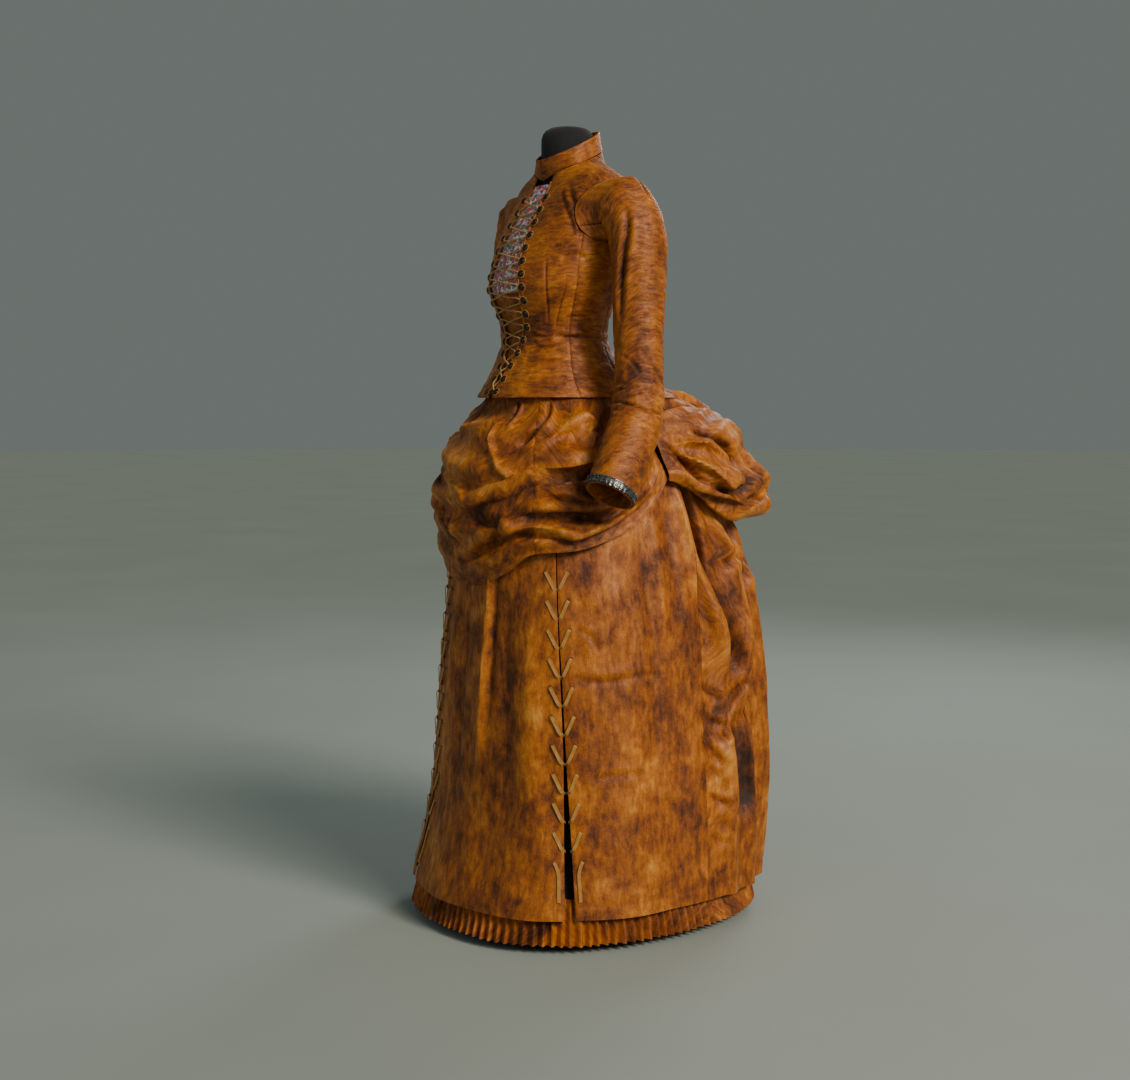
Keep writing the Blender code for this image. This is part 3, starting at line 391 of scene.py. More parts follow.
def pouf(angle, share):
    steps = np.linspace(0.0, 1.0, len(POUF_PROFILE))
    z = pouf_height(angle, share)
    out = smooth_curve(share, steps, [row.out for row in POUF_PROFILE])
    away = np.abs(angle)
    under_tail = ease(share, 0.55, 0.25)
    full = ease(away, 100.0, 140.0) * (1 - under_tail) + ease(away, 120.0, 172.0) * under_tail
    least = np.minimum(out, np.minimum(column(APRON_OUT, "out", z), 0.014))
    loops = ridges(share + 0.05 * np.cos(np.radians(angle) * 4.0), POUF_SWELLS) * full
    return around(SKIRT, angle, z, least + (out - least) * full + loops)


def neck_height(angle):
    return NECK_FRONT + (NECK_BACK - NECK_FRONT) * ease(np.abs(angle), -40.0, 180.0) - 0.004


def collar_surface(angle, share):
    low = torso(angle, neck_height(angle)) + np.array([0.0, 0.0, 0.0016])
    turned = np.radians(angle)
    top_z = 1.4105 - 0.0295 * np.cos(turned)
    top = np.stack([0.0535 * np.sin(turned), 0.0385 - 0.0585 * np.cos(turned), top_z], axis=-1)
    share = share[..., None]
    return low * (1 - share) + top * share


def armhole(turn, scale=1.0):
    angle = 90.0 - ARMHOLE_SPREAD * scale * np.cos(np.radians(turn))
    z = ARMHOLE_MIDDLE + ARMHOLE_HALF * scale * np.sin(np.radians(turn))
    return angle, z


def sleeve_surface(side):
    """A tube that grows out of the armhole, by the turn round it and the row along it."""
    y_name = "y" if side > 0 else "right_y"
    step = 0.05

    def at(name, row):
        return smooth_curve(row, np.arange(len(SLEEVE)), [getattr(ring, name) for ring in SLEEVE])

    def surface(turn, row):
        value = {name: at(name, row) for name in Ring._fields}
        middle = np.clip(row, step, len(SLEEVE) - 1 - step)
        ahead = at(y_name, middle + step) - at(y_name, middle - step)
        fallen = at("z", middle - step) - at("z", middle + step)
        forward = ahead / np.maximum(fallen, 0.004) * ease(row, 2.5, 5.0)
        way = unit(np.stack([value["out"], forward * value["down"], -value["down"]], axis=-1))
        front = np.zeros_like(way)
        front[..., 1] = -1.0
        front = unit(front - way * np.sum(front * way, axis=-1, keepdims=True))
        up = np.cross(front, way)
        centre = np.stack([value["x"], value[y_name], value["z"]], axis=-1)
        turned = np.radians(turn)
        deep = (value["deep"] * np.cos(turned))[..., None]
        wide = (value["wide"] * np.sin(turned))[..., None]
        tube = centre + front * deep + up * wide
        angle, z = armhole(turn, 0.982)
        hole = around(TORSO, angle, z, 0.0016)
        share = ease(row, 0.0, 1.0)[..., None]
        point = hole * (1 - share) + tube * share
        return point * np.array([side, 1.0, 1.0])

    return surface


# Folds, listed one by one

SKIRT_METRE = math.radians(1.0) * 0.235
TORSO_METRE = math.radians(1.0) * 0.118


def on_skirt(angle, z):
    return angle * SKIRT_METRE, z


def on_torso(angle, z):
    return angle * TORSO_METRE, z


# Places are the angle from the centre front and the height.
APRON_CREASES = crease_table(
    (20, 9.5, 14, 8, 752, 14, 757, 22, 770, 31, 785, 39, 802, 46, 809, 54, 818, 64, 827, 75, 838, 88,
     846, 98, 845),
    (16, 10, 8, 31, 745, 39, 751, 46, 749, 54, 750, 66, 748, 74, 756, 86, 779, 96, 806),
    (13, 8, 9, -8, 668, 3, 667, 15, 688, 26, 705, 35, 719, 42, 720, 49, 714, 58, 704, 70, 722, 84, 748,
     96, 781),
    (10, 9, 4, 52, 814, 58, 804, 64, 797, 72, 795, 84, 808),
    (6, 4.5, 3, 46, 782, 56, 780, 65, 775, 76, 778),
    (6, 4.5, 3, 48, 728, 53, 734, 60, 727, 68, 740, 80, 762),
    (8, 6, 4, 27, 950, 25, 925, 22, 905),
    (10, 5.5, 5, 51, 951, 49, 926, 44, 907, 38, 884, 32, 868),
    (-9, 7, 0, 38, 866, 46, 871, 54, 894, 64, 914, 70, 921, 74, 908, 69, 893, 75, 886),
    (-8, 9, 0, -24, 892, -9, 903, 5, 905, 17, 915),
    (-9, 6, 0, 20, 915, 17, 895, 18, 868, 25, 838, 31, 820, 38, 806),
    (-8, 6.5, 0, -18, 822, -11, 807, -3, 795, 4, 786, 13, 762),
    (13, 10, 4, 11, 748, 18, 740, 25, 738, 27, 722, 21, 710),
    (9, 8, 4, -20, 772, -15, 748, -8, 717, 1, 690),
    (8, 7, 3, -7, 745, -4, 722, -2, 706),
    (-7, 6, 0, 44, 838, 53, 838, 60, 846, 65, 842, 73, 860, 84, 866),
    (8, 11, 2, 58, 880, 66, 872, 74, 872),
    (12, 9.5, 8, -6, 792, -18, 800, -32, 812, -48, 822, -66, 836, -88, 848),
    (11, 9, 6, -10, 735, -26, 742, -42, 757, -60, 752, -80, 775, -96, 806),
    (10, 8, 6, -12, 676, -24, 688, -40, 716, -58, 716, -76, 740, -96, 783),
    (9, 5.5, 4, -42, 950, -44, 918, -52, 890, -63, 872),
    (7, 6, 3, -16, 950, -15, 922, -10, 900),
    (-8, 8, 0, -40, 868, -54, 884, -68, 902, -82, 896),
    (7, 6, 3, -46, 784, -62, 792, -80, 812, -98, 838),
)

# Places on the pouf are the angle and the share of the way over it, for the left half. The right half
# repeats them.
POUF_CREASES = crease_table(
    (-11, 9, 0, 112, 210, 126, 240, 145, 270, 161, 330, 160, 380, 144, 410, 132, 440, 122, 490),
    (20, 10, 6, 111, 420, 118, 400, 130, 360, 142, 345, 152, 360),
    (-12, 9, 0, 112, 590, 119, 565, 126, 535, 134, 490, 147, 465, 158, 480),
    (22, 10.5, 8, 122, 500, 130, 520, 136, 580, 134, 680, 128, 755, 120, 800),
    (-14, 9, 0, 112, 630, 120, 655, 126, 690, 129, 740, 124, 820, 116, 840),
    (-12, 11, 0, 150, 530, 148, 600, 150, 720, 144, 840, 136, 900, 124, 920),
    (13, 8, 4, 118, 860, 127, 865, 135, 800, 139, 720),
    (14, 9, 5, 108, 550, 112, 620, 116, 700, 119, 790),
    (14, 9, 6, 146, 440, 156, 500, 164, 560, 174, 570, 180, 560),
    (17, 10, 6, 150, 660, 158, 700, 168, 720, 180, 710),
    (-10, 10, 0, 154, 790, 164, 830, 174, 840, 180, 840),
    (12, 9, 4, 158, 270, 168, 360, 176, 400, 180, 410),
    (9, 6, 3, 114, 300, 124, 310, 136, 300),
    (8, 5.5, 3, 138, 620, 142, 680, 141, 750),
)

SKIRT_CREASES = crease_table(
    (26, 10, 14, 132.5, 452, 130.5, 510, 128, 565, 124.5, 630, 122, 690, 120.5, 748, 119.5, 815),
    (-14, 8, 0, 135.5, 438, 136.5, 480, 137.5, 540, 140, 620, 135, 700, 130, 770),
    (13, 5, 6, 135, 440, 132, 420, 128.5, 385, 121, 336),
    (16, 16, 0, 142, 435, 136, 390, 132, 325, 133, 245, 128, 190),
    (-10, 12, 0, 124, 350, 124, 290, 123.5, 225, 120.5, 190),
    (10, 8, 4, 146, 730, 144, 690, 137, 660, 131, 650),
    (10, 9, 4, 158, 715, 150, 655, 143, 600),
    (6, 5, 3, 115.5, 392, 118.5, 380, 122, 364),
    (7, 5.5, 3, 114.8, 347, 118, 322, 121.5, 296),
    (6, 5, 3, 114.3, 250, 118, 236, 122.5, 224),
    (6, 5, 2, 114, 177, 117, 166, 120.5, 155),
    (5, 4.5, 2, 114.6, 300, 117.5, 290, 120, 272),
    (5, 5, 2, 116.2, 440, 119, 428, 122, 408),
    (-8.5, 7.5, 0, 18, 700, 17.6, 637, 16.4, 560, 15.4, 480, 14.8, 400, 13.5, 300),
    (6, 6, 0, 21.5, 700, 21, 630, 20, 560, 19, 470, 19, 390),
    (5, 16, 0, 27, 640, 28, 500, 30, 360, 31, 200),
    (-4, 17, 0, 39, 620, 40, 450, 43, 250, 45, 120),
    (4, 15, 0, 1, 600, -2, 420, -5, 220),
    (-4, 15, 0, -13, 600, -16, 400, -20, 180),
    (-4.5, 9, 0, 97, 750, 98, 650, 98, 520),
    (4.5, 11, 0, 104, 770, 106, 680, 106.5, 560),
    (4, 12, 0, 88, 700, 91, 600, 92, 470, 91, 300),
    (-3.5, 14, 0, 76, 640, 77, 480, 80, 280, 82, 120),
    (3.5, 6, 1.5, 58, 470, 70, 466, 84, 474, 96, 468),
    (2.5, 5, 1, 64, 300, 76, 306, 88, 300),
    (2.5, 4.5, 1, 59, 560, 64, 545, 68, 520),
    (24, 10, 12, -133, 470, -129, 560, -124, 650, -121, 740, -119.5, 810),
    (-12, 9, 0, -137, 455, -140, 560, -138, 660, -131, 760),
    (12, 5.5, 5, -136, 450, -129, 395, -121, 350),
    (14, 16, 0, -143, 440, -134, 340, -133, 240),
    (6, 5, 3, -115, 330, -118, 310, -122, 290),
    (6, 5, 3, -114.5, 230, -118, 222, -122, 205),
    (4, 13, 0, -60, 640, -63, 450, -66, 220),
    (-4, 14, 0, -78, 660, -80, 460, -83, 200),
    (4, 12, 0, -94, 700, -96, 520, -96, 300),
)

TORSO_CREASES = crease_table(
    (2.6, 2, 0, 46.5, 1200, 48, 1150, 50.5, 1110, 51.5, 1080),
    (2.6, 2, 0, 64, 1156, 61, 1115, 58.5, 1076),
    (2.6, 2, 0, -46.5, 1200, -48.5, 1140, -51.5, 1080),
    (2.6, 2, 0, -64, 1156, -61, 1115, -58.5, 1076),
    (4, 4.5, 2, 56, 1328, 62, 1300, 68, 1262, 70, 1232),
    (3.5, 4, 1.8, 48, 1322, 55, 1296, 62, 1262, 66, 1236),
    (3, 4, 1.2, 58, 1196, 68, 1204, 78, 1196),
    (3.8, 4.5, 1.8, -56, 1326, -63, 1290, -69, 1240),
    (3.4, 4, 1.6, -48, 1318, -57, 1282, -64, 1244),
    (3.4, 3.5, 1.4, 66, 1092, 78, 1097, 92, 1090),
    (3, 3, 1.2, 60, 1064, 72, 1060, 90, 1066, 104, 1060),
    (2.8, 3, 1.2, 34, 1050, 48, 1043, 64, 1047),
    (2.8, 3, 1.2, 30, 1070, 44, 1062, 56, 1066),
    (2.6, 3, 1, 26, 1024, 40, 1015, 58, 1020, 70, 1012),
    (3, 3.5, 1.4, 118, 1090, 132, 1096, 150, 1090),
    (3, 3.5, 1.4, 120, 1056, 140, 1062, 164, 1057),
    (3, 3.5, 1.4, -118, 1086, -134, 1092, -152, 1086),
    (3, 3.5, 1.4, -64, 1062, -80, 1058, -100, 1064),
    (2.8, 3, 1.2, -32, 1050, -48, 1042, -62, 1048),
    (3.4, 5, 1.4, 114, 1330, 126, 1280, 132, 1220),
    (3.4, 5, 1.4, -114, 1330, -126, 1280, -132, 1220),
)

# Places on a sleeve are the turn round it, 0 in front and 90 outside, and the row along it.
SLEEVE_CREASES = crease_table(
    (7, 5, 3, 50, 210, 40, 270, 26, 350, 16, 430, 10, 500),
    (-3.2, 6, 0, 58, 220, 50, 300, 38, 390, 30, 480),
    (3.4, 3.5, 1.4, -30, 684, 10, 694, 45, 702, 80, 706, 115, 700, 140, 692),
    (2.4, 3, 1.2, -40, 655, 0, 662, 40, 660),
    (2.4, 3, 1.2, 60, 645, 95, 662, 135, 660),
    (2.2, 2.8, 1, 50, 730, 85, 734, 120, 726),
    (2.8, 3.5, 1.2, 58, 560, 86, 590, 116, 620, 140, 630),
    (2.4, 3.2, 1, 10, 570, 40, 590, 60, 620),
    (4, 4, 1.6, -52, 60, -20, 130, 8, 180),
    (3.6, 4, 1.4, -36, 50, -4, 100, 30, 150),
    (3.2, 4, 1.4, -20, 40, 14, 80, 50, 120, 76, 160),
    (3, 4, 1.2, 120, 50, 106, 120, 100, 200),
    (3, 4, 1.2, 160, 60, 150, 160, 146, 260),
    (3, 3.5, 1.2, -60, 260, -40, 330, -16, 380),
    (3, 3.5, 1.2, 196, 590, 230, 620, 262, 610),
    (3, 3.5, 1.2, 200, 660, 236, 680, 270, 670),
    (1.6, 1.6, 0, 20, 852, 50, 856, 85, 858, 115, 866, 135, 874),
    per=100.0,
)

# Making cloth


def piece_of(name, points, faces, finish, uv=None, sharp=50):
    mesh = bpy.data.meshes.new(name)
    mesh.from_pydata(np.asarray(points, float).tolist(), [], faces)
    mesh.shade_smooth()
    mesh.set_sharp_from_angle(angle=math.radians(sharp))
    mesh.materials.append(finish)
    if uv is not None:
        layer = mesh.uv_layers.new(name="UVMap")
        corners = np.empty(len(mesh.loops), int)
        mesh.loops.foreach_get("vertex_index", corners)
        layer.data.foreach_set("uv", np.asarray(uv, np.float32)[corners].ravel())
    thing = bpy.data.objects.new(name + "_finished", mesh)
    bpy.context.scene.collection.objects.link(thing)
    return thing


def lengths(grid, axis):
    return np.linalg.norm(np.diff(grid, axis=axis), axis=-1)


def lengths_along(path):
    """How far along a line each of its points lies."""
    return np.append(0.0, np.cumsum(np.linalg.norm(np.diff(path, axis=0), axis=1)))


def lengths_over(grid):
    """How far each point of a grid lies from its first column and from its first row."""
    rows, columns = grid.shape[:2]
    across = np.concatenate([np.zeros((rows, 1)), np.cumsum(lengths(grid, 1), axis=1)], axis=1)
    along = np.concatenate([np.zeros((1, columns)), np.cumsum(lengths(grid, 0), axis=0)], axis=0)
    return across, along


def tube_faces(rows, columns, flip=False):
    """The faces of a closed tube of rings, with a cap at each end."""
    number = np.arange(rows * columns).reshape(rows, columns)
    shifted = np.roll(number, -1, axis=1)
    ring = [number[:-1], shifted[:-1], shifted[1:], number[1:]]
    if flip:
        ring = [number[:-1], number[1:], shifted[1:], shifted[:-1]]
    caps = [number[0, ::-1], number[-1]] if not flip else [number[0], number[-1, ::-1]]
    return np.stack(ring, axis=-1).reshape(-1, 4).tolist() + [cap.tolist() for cap in caps]


def wall(name, outer, inner, finish, ring=False, flip=False, uv_shift=0.0):
    """A cloth wall between two grids, with a pattern place in metres at every point."""
    rows, columns = outer.shape[:2]
    number = np.arange(rows * columns).reshape(rows, columns)
    if ring:
        number = np.concatenate([number, number[:, :1]], axis=1)
    inside = rows * columns
    a = number[:-1, :-1]
    b = number[:-1, 1:]
    c = number[1:, 1:]
    d = number[1:, :-1]
    quads = np.stack([a, b, c, d], axis=-1).reshape(-1, 4)
    rims = [(number[0, 1:], number[0, :-1]), (number[-1, :-1], number[-1, 1:])]
    if not ring:
        rims += [(number[:-1, 0], number[1:, 0]), (number[1:, -1], number[:-1, -1])]
    faces = [quads, quads[:, ::-1] + inside]
    for first, second in rims:
        faces.append(np.stack([first, second, second + inside, first + inside], axis=-1))
    faces = np.concatenate(faces)
    if flip:
        faces = faces[:, ::-1]
    across, along = lengths_over(outer)
    across = across - across[:, columns // 2: columns // 2 + 1]
    uv = np.stack([across + uv_shift, along + 0.37 * uv_shift], axis=-1).reshape(-1, 2)
    points = np.concatenate([outer.reshape(-1, 3), inner.reshape(-1, 3)])
    thing = piece_of(name, points, faces.tolist(), finish, np.concatenate([uv, uv]))
    thing["cut"] = [float(lengths(outer, 1).sum(axis=1).max()), float(lengths(outer, 0).sum(axis=0).max())]
    return thing


def cloth(name, surface, u, v, thickness, finish, relief=None, facing=1.0, ring=False, uv_shift=0.0):
    """The surface at a grid of values, raised by its folds, its lining side moved in by the thickness."""
    outer = surface(u, v)
    normal = outward(surface, u, v, facing)
    if relief is not None:
        outer = outer + normal * relief[..., None]
        along_u = np.gradient(outer, axis=1)
        along_v = np.gradient(outer, axis=0)
        turned = np.cross(along_u, along_v)
        turned = turned / np.maximum(np.linalg.norm(turned, axis=-1, keepdims=True), 1e-12)
        turned = turned * np.sign(np.sum(turned * normal, axis=-1, keepdims=True))
        normal = 0.5 * (normal + turned)
    inner = outer - normal * thickness
    thing = wall(name, outer, inner, finish, ring, not looks_out(outer, normal), uv_shift)
    if relief is not None:
        # Stores the relief for the velvet's painted shade in the hollows of folds and painted light on their
        # crests.
        store_fold_shading(thing, relief)
    return thing


def looks_out(grid, normal, row=0):
    """Whether a grid's own order of rows and columns turns its faces along the normals."""
    here = grid[row, 0]
    return np.sum(np.cross(grid[row, 1] - here, grid[row + 1, 0] - here) * normal[row, 0]) > 0


def store_fold_shading(thing, relief):
    """Stores how high each point stands, for the velvet's painted shading: darker in the hollows of folds,
    lighter on their crests.
    """
    height = 0.7 * np.tanh(relief / 0.009).ravel()
    kept = thing.data.attributes.new("fold_shading", "FLOAT", "POINT")
    kept.data.foreach_set("value", np.concatenate([height, height]).astype(np.float32))


def declare(thing, nodes):
    """Attaches a cloth piece to the root body, hides the solids that it stands for, and drops its cut size.
    """
    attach(thing, "root")
    if nodes:
        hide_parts(*nodes)
    del thing["cut"]


def seam_dip(surface_grid, sides=(True, True), ends=(False, False)):
    """Cloth turns in a little where it is sewn."""
    across, along = lengths_over(surface_grid)
    dip = np.zeros(across.shape)
    for on, distance in zip((*sides, *ends), (across, across[:, -1:] - across, along, along[-1:] - along)):
        if on:
            dip = dip - 0.0010 * np.exp(-((distance / 0.0024) ** 2))
    return dip


# Finishes. Colours are written as sRGB hex and turned to linear here.


def colour(code):
    value = [int(code[i: i + 2], 16) / 255 for i in (1, 3, 5)]
    linear = [c / 12.92 if c <= 0.04045 else ((c + 0.055) / 1.055) ** 2.4 for c in value]
    return (*linear, 1.0)


def fill(tree, node, inputs):
    """Links or sets each input of a node."""
    for key, value in inputs.items():
        if isinstance(value, bpy.types.NodeSocket):
            tree.links.new(value, node.inputs[key])
        else:
            node.inputs[key].default_value = value


def add_node(tree, kind, inputs=None, **settings):
    node = tree.nodes.new(kind)
    for key, value in settings.items():
        setattr(node, key, value)
    fill(tree, node, inputs or {})
    return node


def new_finish(name):
    made = bpy.data.materials.new(name)
    made.use_nodes = True
    return made, made.node_tree, made.node_tree.nodes["Principled BSDF"]


def ramp(tree, value, stops):
    node = add_node(tree, "ShaderNodeValToRGB", {0: value})
    band = node.color_ramp
    band.elements[0].position, band.elements[0].color = stops[0][0], colour(stops[0][1])
    band.elements[1].position, band.elements[1].color = stops[-1][0], colour(stops[-1][1])
    for place, code in stops[1:-1]:
        band.elements.new(place).color = colour(code)
    return node.outputs[0]


def weighted(tree, *terms):
    total = None
    for value, weight in terms:
        inputs = {0: value, 1: weight, 2: 0.0}
        if total is not None:
            inputs[2] = total
        total = add_node(tree, "ShaderNodeMath", inputs, operation="MULTIPLY_ADD").outputs[0]
    return total


def unevenness(tree, place, scale, detail):
    inputs = {"Vector": place, "Scale": scale, "Detail": detail}
    return add_node(tree, "ShaderNodeTexNoise", inputs).outputs[0]


def raised(tree, height, strength, distance):
    inputs = {"Height": height, "Strength": strength, "Distance": distance}
    return add_node(tree, "ShaderNodeBump", inputs).outputs[0]


VELVET_STOPS = [(0.34, "#200C03"), (0.42, "#562708"), (0.49, "#8E490C"), (0.56, "#B86A19"), (0.67, "#E2A043")]
# A wave texture draws this many bands in a unit at a scale of 1.
WAVE_BANDS = 3.2


def crushed_velvet(name, across, along, crumple_height):
    """Silk-rayon velvet, its pile pressed down in patches: bright where it lies flat, dark where it stands;
    painted shade darkens the hollows of folds and painted light brightens their crests.
    """
    made, tree, surface = new_finish(name)
    place = add_node(tree, "ShaderNodeTexCoord").outputs["UV"]
    warp = add_node(tree, "ShaderNodeTexNoise", {"Vector": place, "Scale": 34.0, "Detail": 3.0})
    bent = add_node(tree, "ShaderNodeMix", {0: 0.010, 4: place, 5: warp.outputs["Color"]}, data_type="VECTOR")
    stretched = add_node(tree, "ShaderNodeMapping", {
        0: bent.outputs[1], "Scale": (1 / across, 1 / along, 1.0)})
    patches = add_node(tree, "ShaderNodeTexNoise", {
        "Vector": bent.outputs[1], "Scale": 9.0, "Detail": 9.0, "Roughness": 0.74})
    streaks = add_node(tree, "ShaderNodeTexNoise", {
        "Vector": stretched.outputs[0], "Scale": 1.0, "Detail": 5.0, "Roughness": 0.60, "Distortion": 0.25})
    grain = unevenness(tree, place, 520.0, 2.0)
    patch, streak = patches.outputs[0], streaks.outputs[0]
    # Painted shading from the folds' relief: darker colour in hollows, lighter on crests.
    fold_shading = add_node(tree, "ShaderNodeAttribute", attribute_name="fold_shading").outputs["Fac"]
    crush_and_fold_shading = weighted(tree, (patch, 0.58), (streak, 0.28), (grain, 0.14), (fold_shading, 0.095))
    tint = ramp(tree, crush_and_fold_shading, VELVET_STOPS)
    shine = add_node(tree, "ShaderNodeMapRange", {0: crush_and_fold_shading, 1: 0.42, 2: 0.60, 3: 0.66, 4: 0.42})
    crease = raised(tree, streak, 1.0, crumple_height)
    pile = add_node(tree, "ShaderNodeBump", {
        "Height": grain, "Strength": 0.55, "Distance": 0.0006, "Normal": crease})
    fill(tree, surface, {
        "Base Color": tint, "Roughness": shine.outputs[0], "Normal": pile.outputs[0], "Sheen Weight": 0.42,
        "Sheen Roughness": 0.40, "Sheen Tint": colour("#E0A050"), "Specular IOR Level": 0.42})
    return made


def cloth_finish(name, dark, light, thread, roughness, sheen=0.1, source="UV"):
    """Plain woven cloth, with its threads drawn as fine crossing ridges and slightly uneven dye."""
    made, tree, surface = new_finish(name)
    place = add_node(tree, "ShaderNodeTexCoord").outputs[source]
    ridge = {"Vector": place, "Scale": 1 / thread / WAVE_BANDS, "Distortion": 0.6}
    warp = add_node(tree, "ShaderNodeTexWave", ridge, bands_direction="X")
    weft = add_node(tree, "ShaderNodeTexWave", ridge, bands_direction="Y")
    dye = unevenness(tree, place, 40.0, 4.0)
    weave = weighted(tree, (warp.outputs[1], 0.5), (weft.outputs[1], 0.5))
    tint = ramp(tree, weighted(tree, (dye, 0.7), (weave, 0.3)), [(0.35, dark), (0.65, light)])
    bump = raised(tree, weave, 0.5, thread * 0.3)
    fill(tree, surface, {
        "Base Color": tint, "Normal": bump, "Roughness": roughness, "Sheen Weight": sheen})
    return made


def flower_layer(tree, place, size, seed, petals, reach_out, turn):
    """How far inside a petalled flower each point lies."""

    def maths(operation, *values):
        inputs = dict(enumerate(values))
        return add_node(tree, "ShaderNodeMath", inputs, operation=operation).outputs[0]

    shifted = add_node(tree, "ShaderNodeMapping", {0: place, "Location": (seed, seed * 0.7, 0.0),
                                                   "Scale": (1 / size, 1 / size, 1.0)})
    cells = add_node(tree, "ShaderNodeTexVoronoi", {
        "Vector": shifted.outputs[0], "Scale": 1.0, "Randomness": 0.75}, voronoi_dimensions="2D")
    away = add_node(tree, "ShaderNodeVectorMath", {0: shifted.outputs[0], 1: cells.outputs["Position"]},
                    operation="SUBTRACT")
    parts = add_node(tree, "ShaderNodeSeparateXYZ", {0: away.outputs[0]})
    angle = maths("ARCTAN2", parts.outputs[1], parts.outputs[0])
    lobe = maths("COSINE", maths("MULTIPLY_ADD", angle, petals, turn))
    edge = maths("MULTIPLY_ADD", lobe, reach_out * 0.28, reach_out)
    return maths("SUBTRACT", edge, cells.outputs["Distance"])


def printed_cotton(name):
    """Cotton voile with a small hand-made flower print: pink and red flowers, green leaves, a pale ground."""
    made, tree, surface = new_finish(name)
    place = add_node(tree, "ShaderNodeTexCoord").outputs["UV"]
    ground = ramp(tree, unevenness(tree, place, 60.0, 4.0), [(0.38, "#C9D0D6"), (0.62, "#EDEBE4")])
    layers = [
        (0.017, 3.1, 2.0, 0.30, 0.6, "#4E6B4A"),
        (0.012, 1.7, 3.0, 0.22, 1.9, "#6C86A8"),
        (0.021, 0.4, 5.0, 0.33, 0.0, "#B23A44"),
        (0.021, 0.4, 5.0, 0.20, 0.0, "#E58A94"),
        (0.021, 0.4, 1.0, 0.07, 0.0, "#D8B04A"),
        (0.014, 5.2, 5.0, 0.27, 0.8, "#C4566A"),
    ]
    shown = ground
    for size, seed, petals, reach_out, turn, code in layers:
        inside = flower_layer(tree, place, size, seed, petals, reach_out, turn)
        edge = add_node(tree, "ShaderNodeMapRange", {0: inside, 1: -0.01, 2: 0.03, 3: 0.0, 4: 0.92})
        mixed = add_node(tree, "ShaderNodeMix", {0: edge.outputs[0], 6: shown, 7: colour(code)},
                         data_type="RGBA")
        shown = mixed.outputs[2]
    bump = raised(tree, unevenness(tree, place, 1400.0, 1.0), 0.3, 0.0003)
    fill(tree, surface, {
        "Base Color": shown, "Normal": bump, "Roughness": 0.72, "Sheen Weight": 0.1})
    return made


def metal_finish(name, dark, light, roughness, metallic, grain=0.002):
    """Cast metal, darker in its pits and rubbed bright on its crests."""
    made, tree, surface = new_finish(name)
    place = add_node(tree, "ShaderNodeTexCoord").outputs["Object"]
    stain = unevenness(tree, place, 1 / grain, 3.0)
    tint = ramp(tree, stain, [(0.35, dark), (0.68, light)])
    dull = add_node(tree, "ShaderNodeMapRange", {0: stain, 1: 0.3, 2: 0.7, 3: roughness + 0.15, 4: roughness})
    bump = raised(tree, stain, 0.3, 0.0003)
    fill(tree, surface, {
        "Base Color": tint, "Roughness": dull.outputs[0], "Normal": bump, "Metallic": metallic})
    return made


def thread_finish(name, dark, light, pitch, roughness, turn, sheen=0.2, source="UV"):
    """Silk thread laid side by side, each thread a bright line between darker ones."""
    made, tree, surface = new_finish(name)
    place = add_node(tree, "ShaderNodeTexCoord").outputs[source]
    turned = add_node(tree, "ShaderNodeMapping", {0: place, "Rotation": (0.0, 0.0, turn)})
    lines = add_node(tree, "ShaderNodeTexWave", {
        "Vector": turned.outputs[0], "Scale": 1 / pitch / WAVE_BANDS, "Distortion": 0.8, "Detail": 1.0})
    mixed = weighted(tree, (lines.outputs[1], 0.6), (unevenness(tree, place, 90.0, 3.0), 0.5))
    tint = ramp(tree, mixed, [(0.25, dark), (0.80, light)])
    bump = raised(tree, lines.outputs[1], 0.6, pitch * 0.3)
    fill(tree, surface, {
        "Base Color": tint, "Normal": bump, "Roughness": roughness, "Sheen Weight": sheen})
    return made


def stained_wood(name):
    """Beech, stained dark and waxed, with long grain up the pole."""
    made, tree, surface = new_finish(name)
    place = add_node(tree, "ShaderNodeTexCoord").outputs["Object"]
    long = add_node(tree, "ShaderNodeMapping", {0: place, "Scale": (60.0, 60.0, 4.0)})
    grain = unevenness(tree, long.outputs[0], 1.0, 5.0)
    tint = ramp(tree, grain, [(0.35, "#1D110A"), (0.65, "#4A2E1C")])
    bump = raised(tree, grain, 0.2, 0.0005)
    fill(tree, surface, {"Base Color": tint, "Normal": bump, "Roughness": 0.42})
    return made


def plain_floor(name):
    """A studio floor of matte paint, pale with a trace of green."""
    made, tree, surface = new_finish(name)
    place = add_node(tree, "ShaderNodeTexCoord").outputs["Object"]
    tint = ramp(tree, unevenness(tree, place, 1.3, 3.0), [(0.3, "#9AA49F"), (0.7, "#9FA9A4")])
    fill(tree, surface, {"Base Color": tint, "Roughness": 0.8})
    return made


skirt_velvet = crushed_velvet("crushed_velvet_skirt", 0.011, 0.034, 0.0012)
drape_velvet = crushed_velvet("crushed_velvet_drape", 0.016, 0.013, 0.0018)
bodice_velvet = crushed_velvet("crushed_velvet_bodice", 0.020, 0.0060, 0.0016)
sleeve_velvet = crushed_velvet("crushed_velvet_sleeve", 0.018, 0.0052, 0.0015)
print_cotton = printed_cotton("flower_printed_cotton")
lining_cotton = cloth_finish("dark_brown_cotton_sateen", "#140A06", "#2A170D", 0.0008, 0.75)
jersey = cloth_finish("black_cotton_jersey", "#0B0C10", "#191B21", 0.0010, 0.85)
bronze = metal_finish("dark_bronze", "#1A130F", "#6A5040", 0.26, 0.85)
cord_silk = thread_finish("gold_silk_cord", "#6E4712", "#E0B060", 0.0012, 0.42, 0.6)
ribbon_silk = thread_finish("bronze_silk_ribbon", "#7A4C14", "#D9A24A", 0.0008, 0.40, 0.0)
